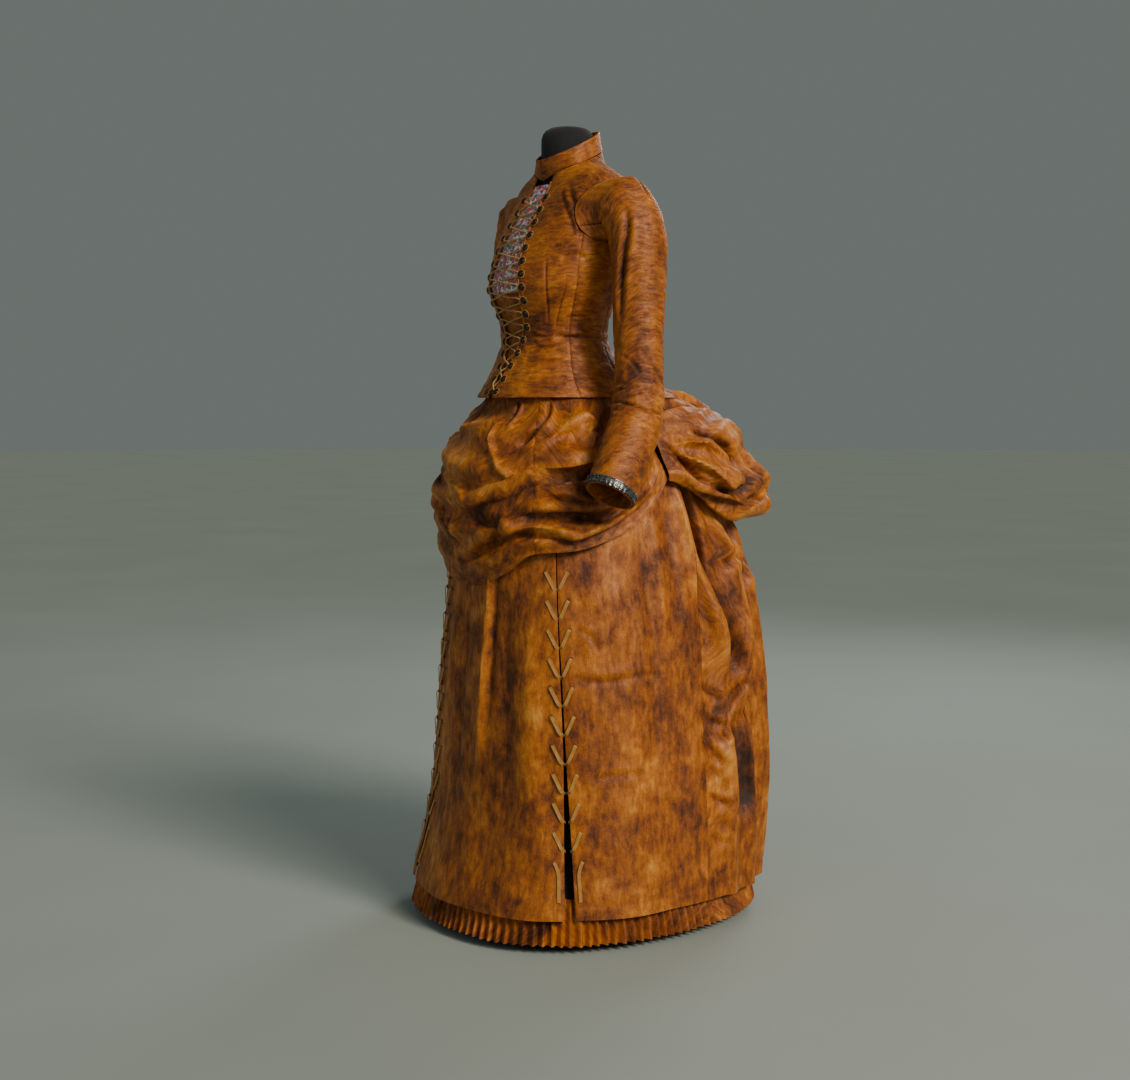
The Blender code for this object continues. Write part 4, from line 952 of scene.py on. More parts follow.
stitch_thread = thread_finish("brown_sewing_thread", "#3A1E0A", "#7A4A1C", 0.0006, 0.6, 0.3, source="Object")
loop_silk = thread_finish("gold_silk_loops", "#6E4712", "#E0B060", 0.0006, 0.42, 0.6, source="Object")
band_cotton = cloth_finish("brown_cotton_waistband", "#140A06", "#2A170D", 0.0008, 0.75, source="Object")
lace_metal = metal_finish("blackened_silver_lace", "#0D0D0E", "#8C8C8C", 0.30, 0.8, 0.003)
wood = stained_wood("dark_stained_beech")

# Repeats, made by Geometry Nodes on points that carry their own directions


def repeat_tree(name, size, length, finish, kind):
    """A tree that puts one small shape on every point, turned by the points' own directions."""
    tree = bpy.data.node_groups.new(name, "GeometryNodeTree")
    tree.interface.new_socket("Places", in_out="INPUT", socket_type="NodeSocketGeometry")
    for word, value in (("Size", size), ("Length", length)):
        socket = tree.interface.new_socket(word, in_out="INPUT", socket_type="NodeSocketFloat")
        socket.default_value = value
    tree.interface.new_socket("Pieces", in_out="OUTPUT", socket_type="NodeSocketGeometry")
    given = add_node(tree, "NodeGroupInput").outputs
    if kind == "button":
        profile = add_node(tree, "GeometryNodeMeshUVSphere", {"Segments": 20, "Rings": 10, "Radius": 1.0})
        flat = add_node(tree, "GeometryNodeTransform", {0: profile.outputs[0], "Scale": (1.0, 1.0, 0.46)})
        rim = add_node(tree, "GeometryNodeMeshCylinder", {"Vertices": 20, "Radius": 1.0, "Depth": 0.16})
        low = add_node(tree, "GeometryNodeTransform", {0: rim.outputs[0], "Translation": (0.0, 0.0, -0.06)})
        shape = add_node(tree, "GeometryNodeJoinGeometry")
        for part in (flat, low):
            tree.links.new(part.outputs[0], shape.inputs[0])
    elif kind == "stitch":
        rod = add_node(tree, "GeometryNodeMeshUVSphere", {"Segments": 6, "Rings": 4, "Radius": 1.0})
        stretch = add_node(tree, "ShaderNodeCombineXYZ", {0: given["Length"], 1: 1.0, 2: 0.8})
        shape = add_node(tree, "GeometryNodeTransform", {0: rod.outputs[0], "Scale": stretch.outputs[0]})
    else:
        shape = add_node(tree, "GeometryNodeMeshIcoSphere", {"Radius": 1.0, "Subdivisions": 2})
    along = add_node(tree, "GeometryNodeInputNamedAttribute", {"Name": "along"}, data_type="FLOAT_VECTOR")
    up = add_node(tree, "GeometryNodeInputNamedAttribute", {"Name": "up"}, data_type="FLOAT_VECTOR")
    turned = add_node(tree, "FunctionNodeAxesToRotation", {0: up.outputs[0], 1: along.outputs[0]},
                      primary_axis="Z", secondary_axis="X")
    placed = add_node(tree, "GeometryNodeInstanceOnPoints", {
        "Points": given["Places"], "Instance": shape.outputs[0], "Rotation": turned.outputs[0]})
    scale = add_node(tree, "GeometryNodeScaleInstances", {0: placed.outputs[0], "Scale": given["Size"]})
    real = add_node(tree, "GeometryNodeRealizeInstances", {0: scale.outputs[0]})
    smooth = add_node(tree, "GeometryNodeSetShadeSmooth", {0: real.outputs[0]})
    coated = add_node(tree, "GeometryNodeSetMaterial", {0: smooth.outputs[0], "Material": finish})
    add_node(tree, "NodeGroupOutput", {0: coated.outputs[0]})
    return tree


def repeated(name, points, along, up, size, length, finish, kind):
    """Small shapes at the points, made a plain mesh."""
    mesh = bpy.data.meshes.new(name + "_places")
    mesh.from_pydata(np.asarray(points, float).tolist(), [], [])
    for word, values in (("along", along), ("up", up)):
        layer = mesh.attributes.new(word, "FLOAT_VECTOR", "POINT")
        layer.data.foreach_set("vector", np.asarray(values, np.float32).ravel())
    holder = bpy.data.objects.new(name + "_places", mesh)
    bpy.context.scene.collection.objects.link(holder)
    tree = repeat_tree(name, size, length, finish, kind)
    maker = holder.modifiers.new("repeat", "NODES")
    maker.node_group = tree
    for item in tree.interface.items_tree:
        if item.in_out == "INPUT" and item.name in ("Size", "Length"):
            maker[item.identifier] = size if item.name == "Size" else length
    bpy.context.view_layer.update()
    ready = holder.evaluated_get(bpy.context.evaluated_depsgraph_get())
    made = bpy.data.meshes.new_from_object(ready)
    made.name = name
    thing = bpy.data.objects.new(name + "_finished", made)
    bpy.context.scene.collection.objects.link(thing)
    bpy.data.objects.remove(holder, do_unlink=True)
    bpy.data.node_groups.remove(tree)
    return thing


def evenly(path, spacing):
    """Points along a line at an even spacing, with the line's direction there."""
    path = np.asarray(path, float)
    along = lengths_along(path)
    steps = np.arange(spacing / 2, along[-1], spacing)
    way = read_off(steps + 0.001, along, path) - read_off(steps - 0.001, along, path)
    return read_off(steps, along, path), unit(way)


def frames_along(path):
    """A steady pair of directions across a line at each of its points."""
    path = np.asarray(path, float)
    way = unit(np.gradient(path, axis=0))
    first = np.cross(way[0], [0.0, 0.0, 1.0])
    if np.linalg.norm(first) < 0.1:
        first = np.cross(way[0], [1.0, 0.0, 0.0])
    sides = [unit(first)]
    for step in way[1:]:
        sides.append(unit(sides[-1] - step * np.dot(sides[-1], step)))
    sides = np.array(sides)
    return way, sides, np.cross(way, sides)


def tube_mesh(name, path, section, finish):
    """A closed tube along a path. The section gives its outline at each place and turn."""
    path = np.asarray(path, float)
    way, side, up = frames_along(path)
    turns = full_turn(section.shape[1])
    ring = (side[:, None] * np.cos(turns)[None, :, None] + up[:, None] * np.sin(turns)[None, :, None])
    grid = path[:, None] + ring * section[..., None]
    along = lengths_along(path)
    over = turns[None, :] * section.mean()
    uv = np.stack(np.broadcast_arrays(over, along[:, None]), axis=-1).reshape(-1, 2)
    return piece_of(name, grid.reshape(-1, 3), tube_faces(*grid.shape[:2]), finish, uv, sharp=80)


def finer(path, step):
    """The same route with points at most a step apart, as a smooth curve."""
    path = np.asarray(path, float)
    along = lengths_along(path)
    places = np.linspace(0.0, along[-1], max(8, int(along[-1] / step)))
    line = np.stack([smooth_curve(places, along, path[:, k]) for k in range(3)], axis=-1)
    for _ in range(2):
        line[1:-1] = 0.25 * line[:-2] + 0.5 * line[1:-1] + 0.25 * line[2:]
    return line


def twisted_cord(name, path, radius, finish, twist=0.006):
    """A cord of two strands, with its centreline."""
    line = finer(path, 0.0011)
    along = lengths_along(line)
    turns = full_turn(8)
    lobes = np.cos(2 * (turns[None, :] - along[:, None] * 2 * math.pi / twist))
    return tube_mesh(name, line, radius * (0.84 + 0.16 * lobes), finish), line


def flat_ribbon(name, path, outs, width, thickness, finish):
    """A ribbon that lies flat on the cloth, its edges turned a little."""
    line = finer(path, 0.0022)
    along = lengths_along(np.asarray(path, float))
    places = np.linspace(0.0, along[-1], len(line))
    out = read_off(places, along, outs)
    way = unit(np.gradient(line, axis=0))
    across = unit(np.cross(way, out))
    up = np.cross(across, way)
    outline = [(-0.5, -0.5), (-0.25, -0.62), (0.25, -0.62), (0.5, -0.5),
               (0.5, 0.5), (0.22, 0.32), (-0.22, 0.32), (-0.5, 0.5)]
    grid = np.stack([line + across * (a * width) + up * (b * thickness) for a, b in outline], axis=1)
    faces = tube_faces(*grid.shape[:2], flip=True)
    over = np.array([a for a, _ in outline])[None, :] * width
    uv = np.stack(np.broadcast_arrays(over, places[:, None]), axis=-1).reshape(-1, 2)
    return piece_of(name, grid.reshape(-1, 3), faces, finish, uv, sharp=40), line


# The skirts


def slit_line(side, back):
    def line(z):
        middle = column(SLIT[side], "angle", z)
        half = np.degrees(column(SLIT_HALF, "depth", z) / reach(SKIRT, middle, z))
        return side * (middle + (half if back else -half))

    return line


def back_seam_line(side, shift):
    def line(z):
        angle = column(SKIRT_BACK_SEAM, "angle", z)
        return side * angle + shift * np.degrees(SEAM / 2 / reach(SKIRT, angle, z))

    return line


def centre_back_line(side):
    return lambda z: side * (180.0 - np.degrees(SEAM / 2 / reach(SKIRT, 180.0 + 0.0 * z, z)))


def skirt_heights(rows, hidden_rows=14):
    """Even rows where the skirt shows, and a few under the apron and the pouf."""
    shown = np.linspace(OUTER_HEM, SHOWN_TOP, rows)
    return np.append(shown, np.linspace(SHOWN_TOP, APRON_TOP, hidden_rows)[1:])


def skirt_relief(angle, z):
    x, y = on_skirt(angle, z)
    folds = laid_folds(x, y, SKIRT_CREASES, on_skirt)
    soft = 0.0022 * noise(x / 0.050, y / 0.160, 11) + 0.0010 * crumple(x, y, 0.030, 0.075, 23)
    fine = 0.0005 * crumple(x, y, 0.011, 0.022, 31)
    by_seam = np.exp(-(((np.abs(angle) - 118.0) / 4.5) ** 2)) * ease(z, 0.62, 0.40)
    ruck = 0.0016 * crumple(x, y, 0.040, 0.012, 41) * by_seam
    hem = -0.0012 * np.exp(-(((z - OUTER_HEM - HEM_DEPTH) / 0.0022) ** 2))
    return folds + (soft + fine) * ease(z, 0.86, 0.80) + ruck + hem


def skirt_piece(name, start, end, columns, rows, shift):
    z = skirt_heights(rows)[:, None] + np.zeros((1, columns))
    share = np.linspace(0.0, 1.0, columns)[None, :]
    first = start(z[:, :1])
    angle = first + (end(z[:, :1]) - first) * share
    relief = skirt_relief(angle, z) + seam_dip(outer_skirt(angle, z))
    thing = cloth(name, outer_skirt, angle, z, VELVET, skirt_velvet, relief, uv_shift=shift)
    declare(thing, [name])
    return thing


skirt_piece("skirt_front", slit_line(-1, False), slit_line(1, False), 96, 130, 0.0)
skirt_piece("skirt_side_left", slit_line(1, True), back_seam_line(1, -1.0), 80, 150, 1.3)
skirt_piece("skirt_side_right", slit_line(-1, True), back_seam_line(-1, 1.0), 64, 76, 2.9)
skirt_piece("skirt_back_left", back_seam_line(1, 1.0), centre_back_line(1), 100, 140, 4.2)
skirt_piece("skirt_back_right", back_seam_line(-1, -1.0), centre_back_line(-1), 70, 90, 5.7)


def ruffle_piece(name, start, end, per_pleat, rows, shift):
    """Knife-pleated velvet under the hem: each pleat is a broad face and a quick return below it."""
    fine = np.linspace(-180.0, 180.0, 1441)
    hem = around(SKIRT, fine, np.full(fine.shape, OUTER_HEM))
    length = lengths_along(hem)
    first, last = (np.interp(a, fine, length) / length[-1] * RUFFLE_PLEATS for a in (start, end))
    pleats = int(round(last - first))
    turn = np.linspace(first + 0.02, last - 0.02, pleats * per_pleat + 1)
    uneven = turn + 0.16 * noise(turn / 1.7, 0.0 * turn, 5)
    angle = np.interp(turn / RUFFLE_PLEATS * length[-1], length, fine)
    share = np.linspace(0.0, 1.0, rows)[:, None]
    phase = uneven - np.floor(uneven)
    face = np.where(phase < PLEAT_FACE, phase / PLEAT_FACE, (1 - phase) / (1 - PLEAT_FACE))
    wave = np.sin((face - 0.5) * math.pi)
    z = RUFFLE_LOW + (RUFFLE_TOP - RUFFLE_LOW) * share + 0.0 * angle[None, :]
    inset = 0.005 + 0.013 * share
    depth = 0.0058 - 0.0034 * share
    out = -inset + depth * wave[None, :] + 0.0009 * noise(turn[None, :] / 2.2, z / 0.02, 9)
    lift = 0.0015 * noise(turn[None, :] / 3.1, 0.0 * z, 3) * (1 - share)
    angles = angle[None, :] + 0.0 * z
    outer = around(SKIRT, angles, z, out)
    outer[..., 2] += np.maximum(lift, 0.0)
    inner = around(SKIRT, angles, z, out - VELVET)
    inner[..., 2] = outer[..., 2]
    thing = wall(name, outer, inner, skirt_velvet, uv_shift=shift)
    declare(thing, [name])


ruffle_piece("ruffle_front", -50.0, 50.0, 10, 12, 7.1)
ruffle_piece("ruffle_left", 50.0, 115.0, 10, 12, 8.3)
ruffle_piece("ruffle_back_left", 115.0, 180.0, 8, 8, 9.9)
ruffle_piece("ruffle_back_right", -180.0, -115.0, 8, 8, 11.2)
ruffle_piece("ruffle_right", -115.0, -50.0, 8, 8, 12.4)


def foundation_piece():
    """The dark cotton skirt below, in one round, soft where it hangs free."""
    angle, z = np.meshgrid(np.linspace(-180.0, 180.0, 121)[:-1], np.linspace(0.050, 1.0395, 46))
    inset = smooth_curve(z, [0.015, 0.140, 0.400, 0.800, 0.950, 1.000, 1.025, 1.040],
                         [0.0225, 0.0225, 0.0220, 0.016, 0.012, 0.0065, 0.0032, 0.0028])
    soft = 0.0012 * noise(angle / 9.0, z / 0.15, 51) * ease(z, 0.95, 0.80)
    outer = around(SKIRT, angle, z, -inset + soft)
    inner = around(SKIRT, angle, z, -inset + soft - COTTON)
    thing = wall("foundation_skirt", outer, inner, lining_cotton, ring=True)
    nodes = ["foundation_front", "foundation_left", "foundation_back_left", "foundation_back_right"]
    declare(thing, [*nodes, "foundation_right"])


foundation_piece()

# The apron and the pouf


def apron_piece(name, start, end, columns, rows, shift):
    share = np.linspace(0.0, 1.0, rows) ** 1.12
    angle, share = np.meshgrid(np.linspace(start + 0.06, end - 0.06, columns), share)
    z = apron_height(angle, share)
    x, y = on_skirt(angle, z)
    folds = laid_folds(x, y, APRON_CREASES, on_skirt)
    plain = ease(share, 0.015, 0.07)
    soft = 0.0030 * noise(x / 0.060, y / 0.045, 61) + 0.0020 * crumple(x, y, 0.045, 0.026, 67)
    fine = 0.0006 * crumple(x, y, 0.014, 0.010, 71)
    gathers = 0.0016 * np.cos(angle * 2.1 + 2.0 * noise(angle / 6.0, 0.0 * z, 73)) * ease(z, 0.97, 1.00)
    tight = ease(z, 0.99, 0.90)
    border = -0.0011 * np.exp(-(((y - apron_height(angle, 0.0 * share) - 0.030) / 0.0022) ** 2))
    relief = folds * (0.35 + 0.65 * plain) + (soft + fine) * plain * tight + gathers * 0.5 + border
    relief = np.maximum(relief, -0.9 * column(APRON_OUT, "out", z) + 0.001)
    relief = relief + seam_dip(apron(angle, share))
    thing = cloth(name, apron, angle, share, DRAPE, drape_velvet, relief, uv_shift=shift)
    declare(thing, [name])


apron_piece("apron_front", -APRON_SEAM, APRON_SEAM, 120, 140, 14.0)
apron_piece("apron_left", APRON_SEAM, GATHER, 120, 130, 15.5)
apron_piece("apron_right", -GATHER, -APRON_SEAM, 62, 70, 17.2)

POUF_METRE = math.radians(1.0) * 0.33
POUF_STEPS = np.linspace(0.0, 1.0, len(POUF_PROFILE))
POUF_ALONG = lengths_along(np.array([(row.z, row.out - 0.9 * row.z) for row in POUF_PROFILE]))


def on_pouf(angle, share):
    return angle * POUF_METRE, np.interp(share, POUF_STEPS, POUF_ALONG)


def pouf_piece(name, side, columns, rows, shift):
    angle, share = np.meshgrid(np.linspace(GATHER + 0.1, 179.93, columns), np.linspace(0.0, 1.0, rows))
    x, y = on_pouf(angle, share)
    folds = laid_folds(x, y, POUF_CREASES, on_pouf)
    free = ease(share, 0.20, 0.32) * ease(share, 1.0, 0.95) * ease(angle, 107.0, 116.0)
    soft = 0.0034 * noise(x / 0.055, y / 0.050, 81 + side) + 0.0022 * crumple(x, y, 0.040, 0.034, 83 + side)
    fine = 0.0007 * crumple(x, y, 0.013, 0.011, 87)
    relief = (folds + soft + fine) * free
    thing = cloth(name, pouf, angle * side, share, DRAPE, drape_velvet, relief, facing=-1.0, uv_shift=shift)
    declare(thing, [name])


pouf_piece("pouf_left", 1, 130, 150, 19.0)
pouf_piece("pouf_right", -1, 78, 88, 21.0)

# The bodice


def resampled(line, count):
    """Angles and heights along an edge, spaced evenly along the cloth."""
    along = lengths_along(line * np.array([TORSO_METRE, 1.0]))
    return read_off(np.linspace(0.0, along[-1], count), along, line)


def coons(bottom, top, left, right):
    """A grid of angles and heights between a panel's four edges."""
    u = np.linspace(0.0, 1.0, len(bottom))[None, :, None]
    v = np.linspace(0.0, 1.0, len(left))[:, None, None]
    across = left[:, None] * (1 - u) + right[:, None] * u
    low_bend = bottom - (bottom[0] * (1 - u[0]) + bottom[-1] * u[0])
    high_bend = top - (top[0] * (1 - u[0]) + top[-1] * u[0])
    grid = across + low_bend[None] * (1 - v) ** 3 + high_bend[None] * v**3
    return grid[..., 0], grid[..., 1]


def pairs(angles, heights):
    return np.stack(np.broadcast_arrays(np.asarray(angles, float), np.asarray(heights, float)), -1)


def seam_angle(angle, z, sign):
    return angle + sign * np.degrees(SEAM / 2 / reach(TORSO, angle, z))


def armhole_turn(seam):
    return -math.degrees(math.acos((90.0 - seam) / ARMHOLE_SPREAD))


BACK_MEETING = 180.0 - armhole_turn(180.0 - SIDE_BACK_SEAM)


def bodice_relief(angle, z):
    x, y = on_torso(angle, z)
    folds = laid_folds(x, y, TORSO_CREASES, on_torso)
    waist = np.exp(-(((z - 1.055) / 0.045) ** 2)) + 0.6 * ease(z, 1.05, 1.00)
    rucks = 0.0021 * crumple(x, y, 0.034, 0.0085, 91) * waist
    away = np.minimum(np.abs(np.abs(angle) - 90.0) / 34.0, 1.0)
    arm = 0.0011 * crumple(x, y, 0.012, 0.050, 93) * (1 - away) * ease(z, 1.17, 1.24)
    soft = 0.0007 * noise(x / 0.035, y / 0.045, 95) + 0.0004 * crumple(x, y, 0.016, 0.010, 97)
    return folds + rucks + arm + soft


def bodice_piece(name, side, edges, columns, rows, shift):
    top, left, right = edges
    bottom = pairs([left[0, 0], right[0, 0]], BODICE_HEM)
    angle, z = coons(resampled(bottom, columns), resampled(top, columns),
                     resampled(left, rows), resampled(right, rows))
    angle = angle * side
    relief = bodice_relief(angle, z) + seam_dip(torso(angle, z), ends=(True, False))
    thing = cloth(name, torso, angle, z, VELVET, bodice_velvet, relief, uv_shift=shift)
    declare(thing, [name])


def shoulder_edge(seam, sign, first_turn):
    """An edge from the hem up a seam and round the armhole to the shoulder."""
    arc = pairs(*armhole(np.linspace(first_turn, 90.0, 40)))
    z = np.linspace(BODICE_HEM, arc[0, 1], 12)
    edge = np.concatenate([pairs(seam_angle(seam, z, sign), z), arc[1:]])
    edge[-1, 0] += sign * SHOULDER_GAP
    return edge


def front_edges():
    right = shoulder_edge(SIDE_SEAM, -1.0, armhole_turn(SIDE_SEAM))
    left_z = np.linspace(BODICE_HEM, NECK_FRONT + 0.0015, 40)
    left = pairs(column(FRONT_EDGE, "angle", left_z), left_z)
    neck_angle = np.linspace(left[-1, 0], 90.0 - SHOULDER_GAP, 20)
    neck = pairs(neck_angle, neck_height(neck_angle))
    left[-1] = neck[0]
    top = np.concatenate([neck, right[-1:]])
    return top, left, right


def side_edges():
    top = pairs(*armhole(np.linspace(armhole_turn(SIDE_SEAM) + 360.0, BACK_MEETING, 30)))
    left_z = np.linspace(BODICE_HEM, top[0, 1], 12)
    right_z = np.linspace(BODICE_HEM, top[-1, 1], 12)
    left = pairs(seam_angle(SIDE_SEAM, left_z, 1.0), left_z)
    right = pairs(seam_angle(SIDE_BACK_SEAM, right_z, -1.0), right_z)
    top[0], top[-1] = left[-1], right[-1]
    return top, left, right


def back_edges():
    left = shoulder_edge(SIDE_BACK_SEAM, 1.0, BACK_MEETING)
    right_z = np.linspace(BODICE_HEM, neck_height(180.0), 30)
    right = pairs(seam_angle(180.0, right_z, -1.0), right_z)
    neck_angle = np.linspace(90.0 + SHOULDER_GAP, right[-1, 0], 20)
    top = np.concatenate([left[-1:], pairs(neck_angle, neck_height(neck_angle))])
    top[-1] = right[-1]
    return top, left, right


for side, word, fine in ((1, "left", 1.0), (-1, "right", 0.8)):
    bodice_piece("bodice_front_" + word, side, front_edges(), int(70 * fine), int(130 * fine), 23.0 + side)
    bodice_piece("bodice_side_" + word, side, side_edges(), int(46 * fine), int(92 * fine), 26.0 + side)
    bodice_piece("bodice_back_" + word, side, back_edges(), int(64 * fine), int(100 * fine), 29.0 + side)


def collar_piece(side):
    """A stand collar with a rolled top edge and a slight dip along its foot."""
    angle, share = np.meshgrid(np.linspace(0.6, 179.7, 90) * side, np.linspace(0.0, 1.0, 16))
    roll = 0.0009 * np.exp(-(((share - 0.93) / 0.07) ** 2)) - 0.0008 * np.exp(-(((share - 0.04) / 0.05) ** 2))
    relief = roll + 0.0006 * crumple(angle * 0.0009, share * 0.035, 0.022, 0.010, 101)
    name = "collar_" + WORD[side]
    thing = cloth(name, collar_surface, angle, share, COLLAR, bodice_velvet, relief, uv_shift=31.0)
    declare(thing, [name])


collar_piece(1)
collar_piece(-1)


def plastron_piece():
    """Printed cotton laid in three upright pleats behind the lacing, and velvet in place of the print low
    down, as painted shade where the print lies in shadow.
    """
    z = np.linspace(0.962, NECK_FRONT - 0.0045, 100)[:, None]
    half = column(FRONT_EDGE, "angle", z) + 5.0
    angle = np.linspace(-1.0, 1.0, 60)[None, :] * half
    z = z + 0.0 * angle
    share = angle / half
    pleats = 0.0
    for place in (-0.50, -0.02, 0.47):
        pleats = pleats + 0.0016 * np.exp(-(((share - place) / 0.035) ** 2))
        pleats = pleats - 0.0010 * np.exp(-(((share - place - 0.07) / 0.04) ** 2))
    x, y = on_torso(angle, z)
    relief = pleats * ease(z, 1.02, 1.10) + 0.0006 * crumple(x, y, 0.010, 0.035, 103)

    def surface(a, h):
        return around(TORSO, a, h, -VELVET - 0.0022)

    thing = cloth("plastron", surface, angle, z, PRINT, print_cotton, relief, uv_shift=0.0)
    # The velvet on the faces below a set height is painted shade over the print, which lies in shadow there.
    thing.data.materials.append(bodice_velvet)
    for face in thing.data.polygons:
        if face.center.z < PRINT_SHADE_TOP:
            face.material_index = 1
    declare(thing, ["plastron"])


plastron_piece()

# The sleeves

SLEEVE_ALONG = lengths_along(np.array([(ring.x, ring.y, ring.z) for ring in SLEEVE]))
SLEEVE_METRE = math.radians(1.0) * 0.045


def on_sleeve(turn, row):
    return turn * SLEEVE_METRE, np.interp(row, np.arange(len(SLEEVE)), SLEEVE_ALONG)


def sleeve_relief(turn, row):
    x, y = on_sleeve(turn, row)
    folds = laid_folds(x, y, SLEEVE_CREASES, on_sleeve)
    head = 0.0016 * crumple(x + 0.35 * y, y, 0.011, 0.060, 111) * ease(row, 2.4, 0.8) * ease(row, 0.0, 0.3)
    elbow = np.exp(-(((row - 6.7) / 0.9) ** 2))
    crinkle = (0.0012 + 0.0012 * elbow) * crumple(x, y, 0.026, 0.0085, 113)
    soft = 0.0012 * noise(x / 0.030, y / 0.060, 117)
    free = ease(row, 0.0, 0.5) * ease(row, 8.95, 8.60)
    return (folds + head + crinkle + soft) * free


def sleeve_piece(side, upper, columns, rows, shift):
    name = ("sleeve_upper_" if upper else "sleeve_under_") + WORD[side]
    ends = (-30.0, BACK_MEETING) if upper else (BACK_MEETING, 330.0)
    row_line = np.interp(np.linspace(0.0, SLEEVE_ALONG[-1], rows), SLEEVE_ALONG, np.arange(len(SLEEVE)))
    turn, row = np.meshgrid(np.linspace(ends[0] + SHOULDER_GAP, ends[1] - SHOULDER_GAP, columns), row_line)
    surface = sleeve_surface(side)
    relief = sleeve_relief(turn, row) + seam_dip(surface(turn, row))
    normal = outward(surface, turn, np.maximum(row, 0.3), -side)
    outer = surface(turn, row) + normal * relief[..., None]
    inner = outer - normal * VELVET
    flip = not looks_out(outer, normal, row=40)
    thing = wall(name, outer, inner, sleeve_velvet, flip=flip, uv_shift=shift)
    # Stores the doubled relief for the velvet's painted shade in the hollows of folds and painted light on
    # their crests.
    store_fold_shading(thing, relief * 2.0)
    declare(thing, [name])


sleeve_piece(1, True, 74, 170, 33.0)
sleeve_piece(1, False, 36, 140, 34.5)
sleeve_piece(-1, True, 56, 120, 36.0)
sleeve_piece(-1, False, 34, 110, 37.5)


def cuff_lace(side):
    """Blackened metal lace round the wrist: a band with a scalloped edge and two rows of small beads."""
    base = sleeve_surface(side)
    turns = np.linspace(0.0, 360.0, 181)[:-1]
    turn, row = np.meshgrid(turns, np.linspace(8.80, 8.985, 6))
    points = base(turn, row)
    out = outward(base, turn, np.minimum(row, 8.9), -side)
    scallop = 0.0010 * np.abs(np.sin(np.radians(turn) * 18.0)) * np.linspace(0.0, 1.0, 6)[:, None]
    lift = (0.0022 + scallop)[..., None]
    name = "cuff_edge_" + WORD[side]
    outer, inner = points + out * lift, points + out * 0.0006
    band = wall(name, outer, inner, lace_metal, ring=True, flip=not looks_out(outer, out))
    declare(band, [name])
    places, ways, ups = [], [], []
    for height, count in ((8.83, 84), (8.95, 84)):
        around_turn = np.linspace(0.0, 360.0, count + 1)[:-1]
        at = np.full(around_turn.shape, height)
        centre = base(around_turn, at)
        normal = outward(base, around_turn, at, -side)
        places.append(centre + normal * 0.0028)
        ups.append(normal)
        ways.append(np.cross(normal, [0.0, 0.0, 1.0]))
    beads = repeated(name + "_beads", np.concatenate(places), np.concatenate(ways), np.concatenate(ups),
                     0.00125, 1.0, lace_metal, "bead")
    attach(beads, "root")


cuff_lace(1)
cuff_lace(-1)

# Buttons, bindings and lacings


def stitch_ring(centre, out, first, count, radius, height):
    """The places, directions and tops of stitches in a ring on the cloth."""
    second = np.cross(out, first)
    spots = []
    for turn in full_turn(count):
        spoke = first * math.cos(turn) + second * math.sin(turn)
        spots.append((centre + spoke * radius + out * height, np.cross(out, spoke), out))
    return spots


def button_place(i, side, inner=0.0):
    z = BUTTON_TOP - BUTTON_PITCH * i
    edge = column(FRONT_EDGE, "angle", z)
    back = np.degrees((BUTTON_SETBACK - inner) / reach(TORSO, edge, z))
    return (edge + back) * side, z


def button_row(side):
    """Sixteen domed buttons with a rim, and the narrow velvet binding that they are sewn on."""
    i = np.arange(BUTTONS, dtype=float)
    angle, z = button_place(i, side)
    normal = outward(torso, angle, z)
    centre = torso(angle, z) + normal * 0.0026
    down = torso(*button_place(i + 0.2, side)) - torso(*button_place(i - 0.2, side))
    name = "buttons_" + WORD[side]
    buttons = repeated(name, centre, down, normal, BUTTON_RADIUS, 1.0, bronze, "button")
    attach(buttons, "root")
    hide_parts(name)
    heights = np.linspace(0.966, NECK_FRONT - 0.002, 220)
    edge = column(FRONT_EDGE, "angle", heights) * side
    path = torso(edge, heights) + outward(torso, edge, heights) * 0.0004
    turns = full_turn(10)
    roll = 0.0019 + 0.0003 * np.sin(heights[:, None] * 900.0 + turns[None, :])
    binding = tube_mesh("front_binding_" + WORD[side], path, roll, bodice_velvet)
    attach(binding, "root")
    loops = []
    for k in range(BUTTONS):
        a, h = button_place(float(k), side)
        out = outward(torso, np.array(a), np.array(h))
        loops += stitch_ring(torso(a, h), out, unit(down[k]), 16, BUTTON_RADIUS + 0.0010, 0.0012)
    cord_loops = repeated(name + "_cord_loops", *zip(*loops), 0.0009, 1.9, loop_silk, "stitch")
    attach(cord_loops, "root")


button_row(1)
button_row(-1)


def over_torso(angle, z, height):
    angle = np.array(float(angle))
    z = np.array(float(z))
    return torso(angle, z) + outward(torso, angle, z) * height


def bodice_lace(name, first, lift):
    """One gold cord that crosses the front from button to button."""
    route = []
    rest = 0.0022
    turn = 0.0026
    for i in range(BUTTONS):
        side = first if i % 2 == 0 else -first
        angle, z = button_place(i, side, inner=LACE_INSET)
        if i > 0:
            route.append(over_torso(angle, z + turn, rest))
        if i < BUTTONS - 1:
            route.append(over_torso(angle, z - turn, rest))
            other, next_z = button_place(i + 1, -side, inner=LACE_INSET)
            for share in (0.32, 0.68):
                middle = angle + (other - angle) * share
                height = z - turn + (next_z + 2 * turn - z) * share
                route.append(over_torso(middle, height, rest + lift))
    thing, line = twisted_cord(name, route, CORD_RADIUS, cord_silk)
    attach(thing, "root")
    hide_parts(name)


bodice_lace("bodice_lace_a", 1, 0.0)
bodice_lace("bodice_lace_b", -1, 0.0026)


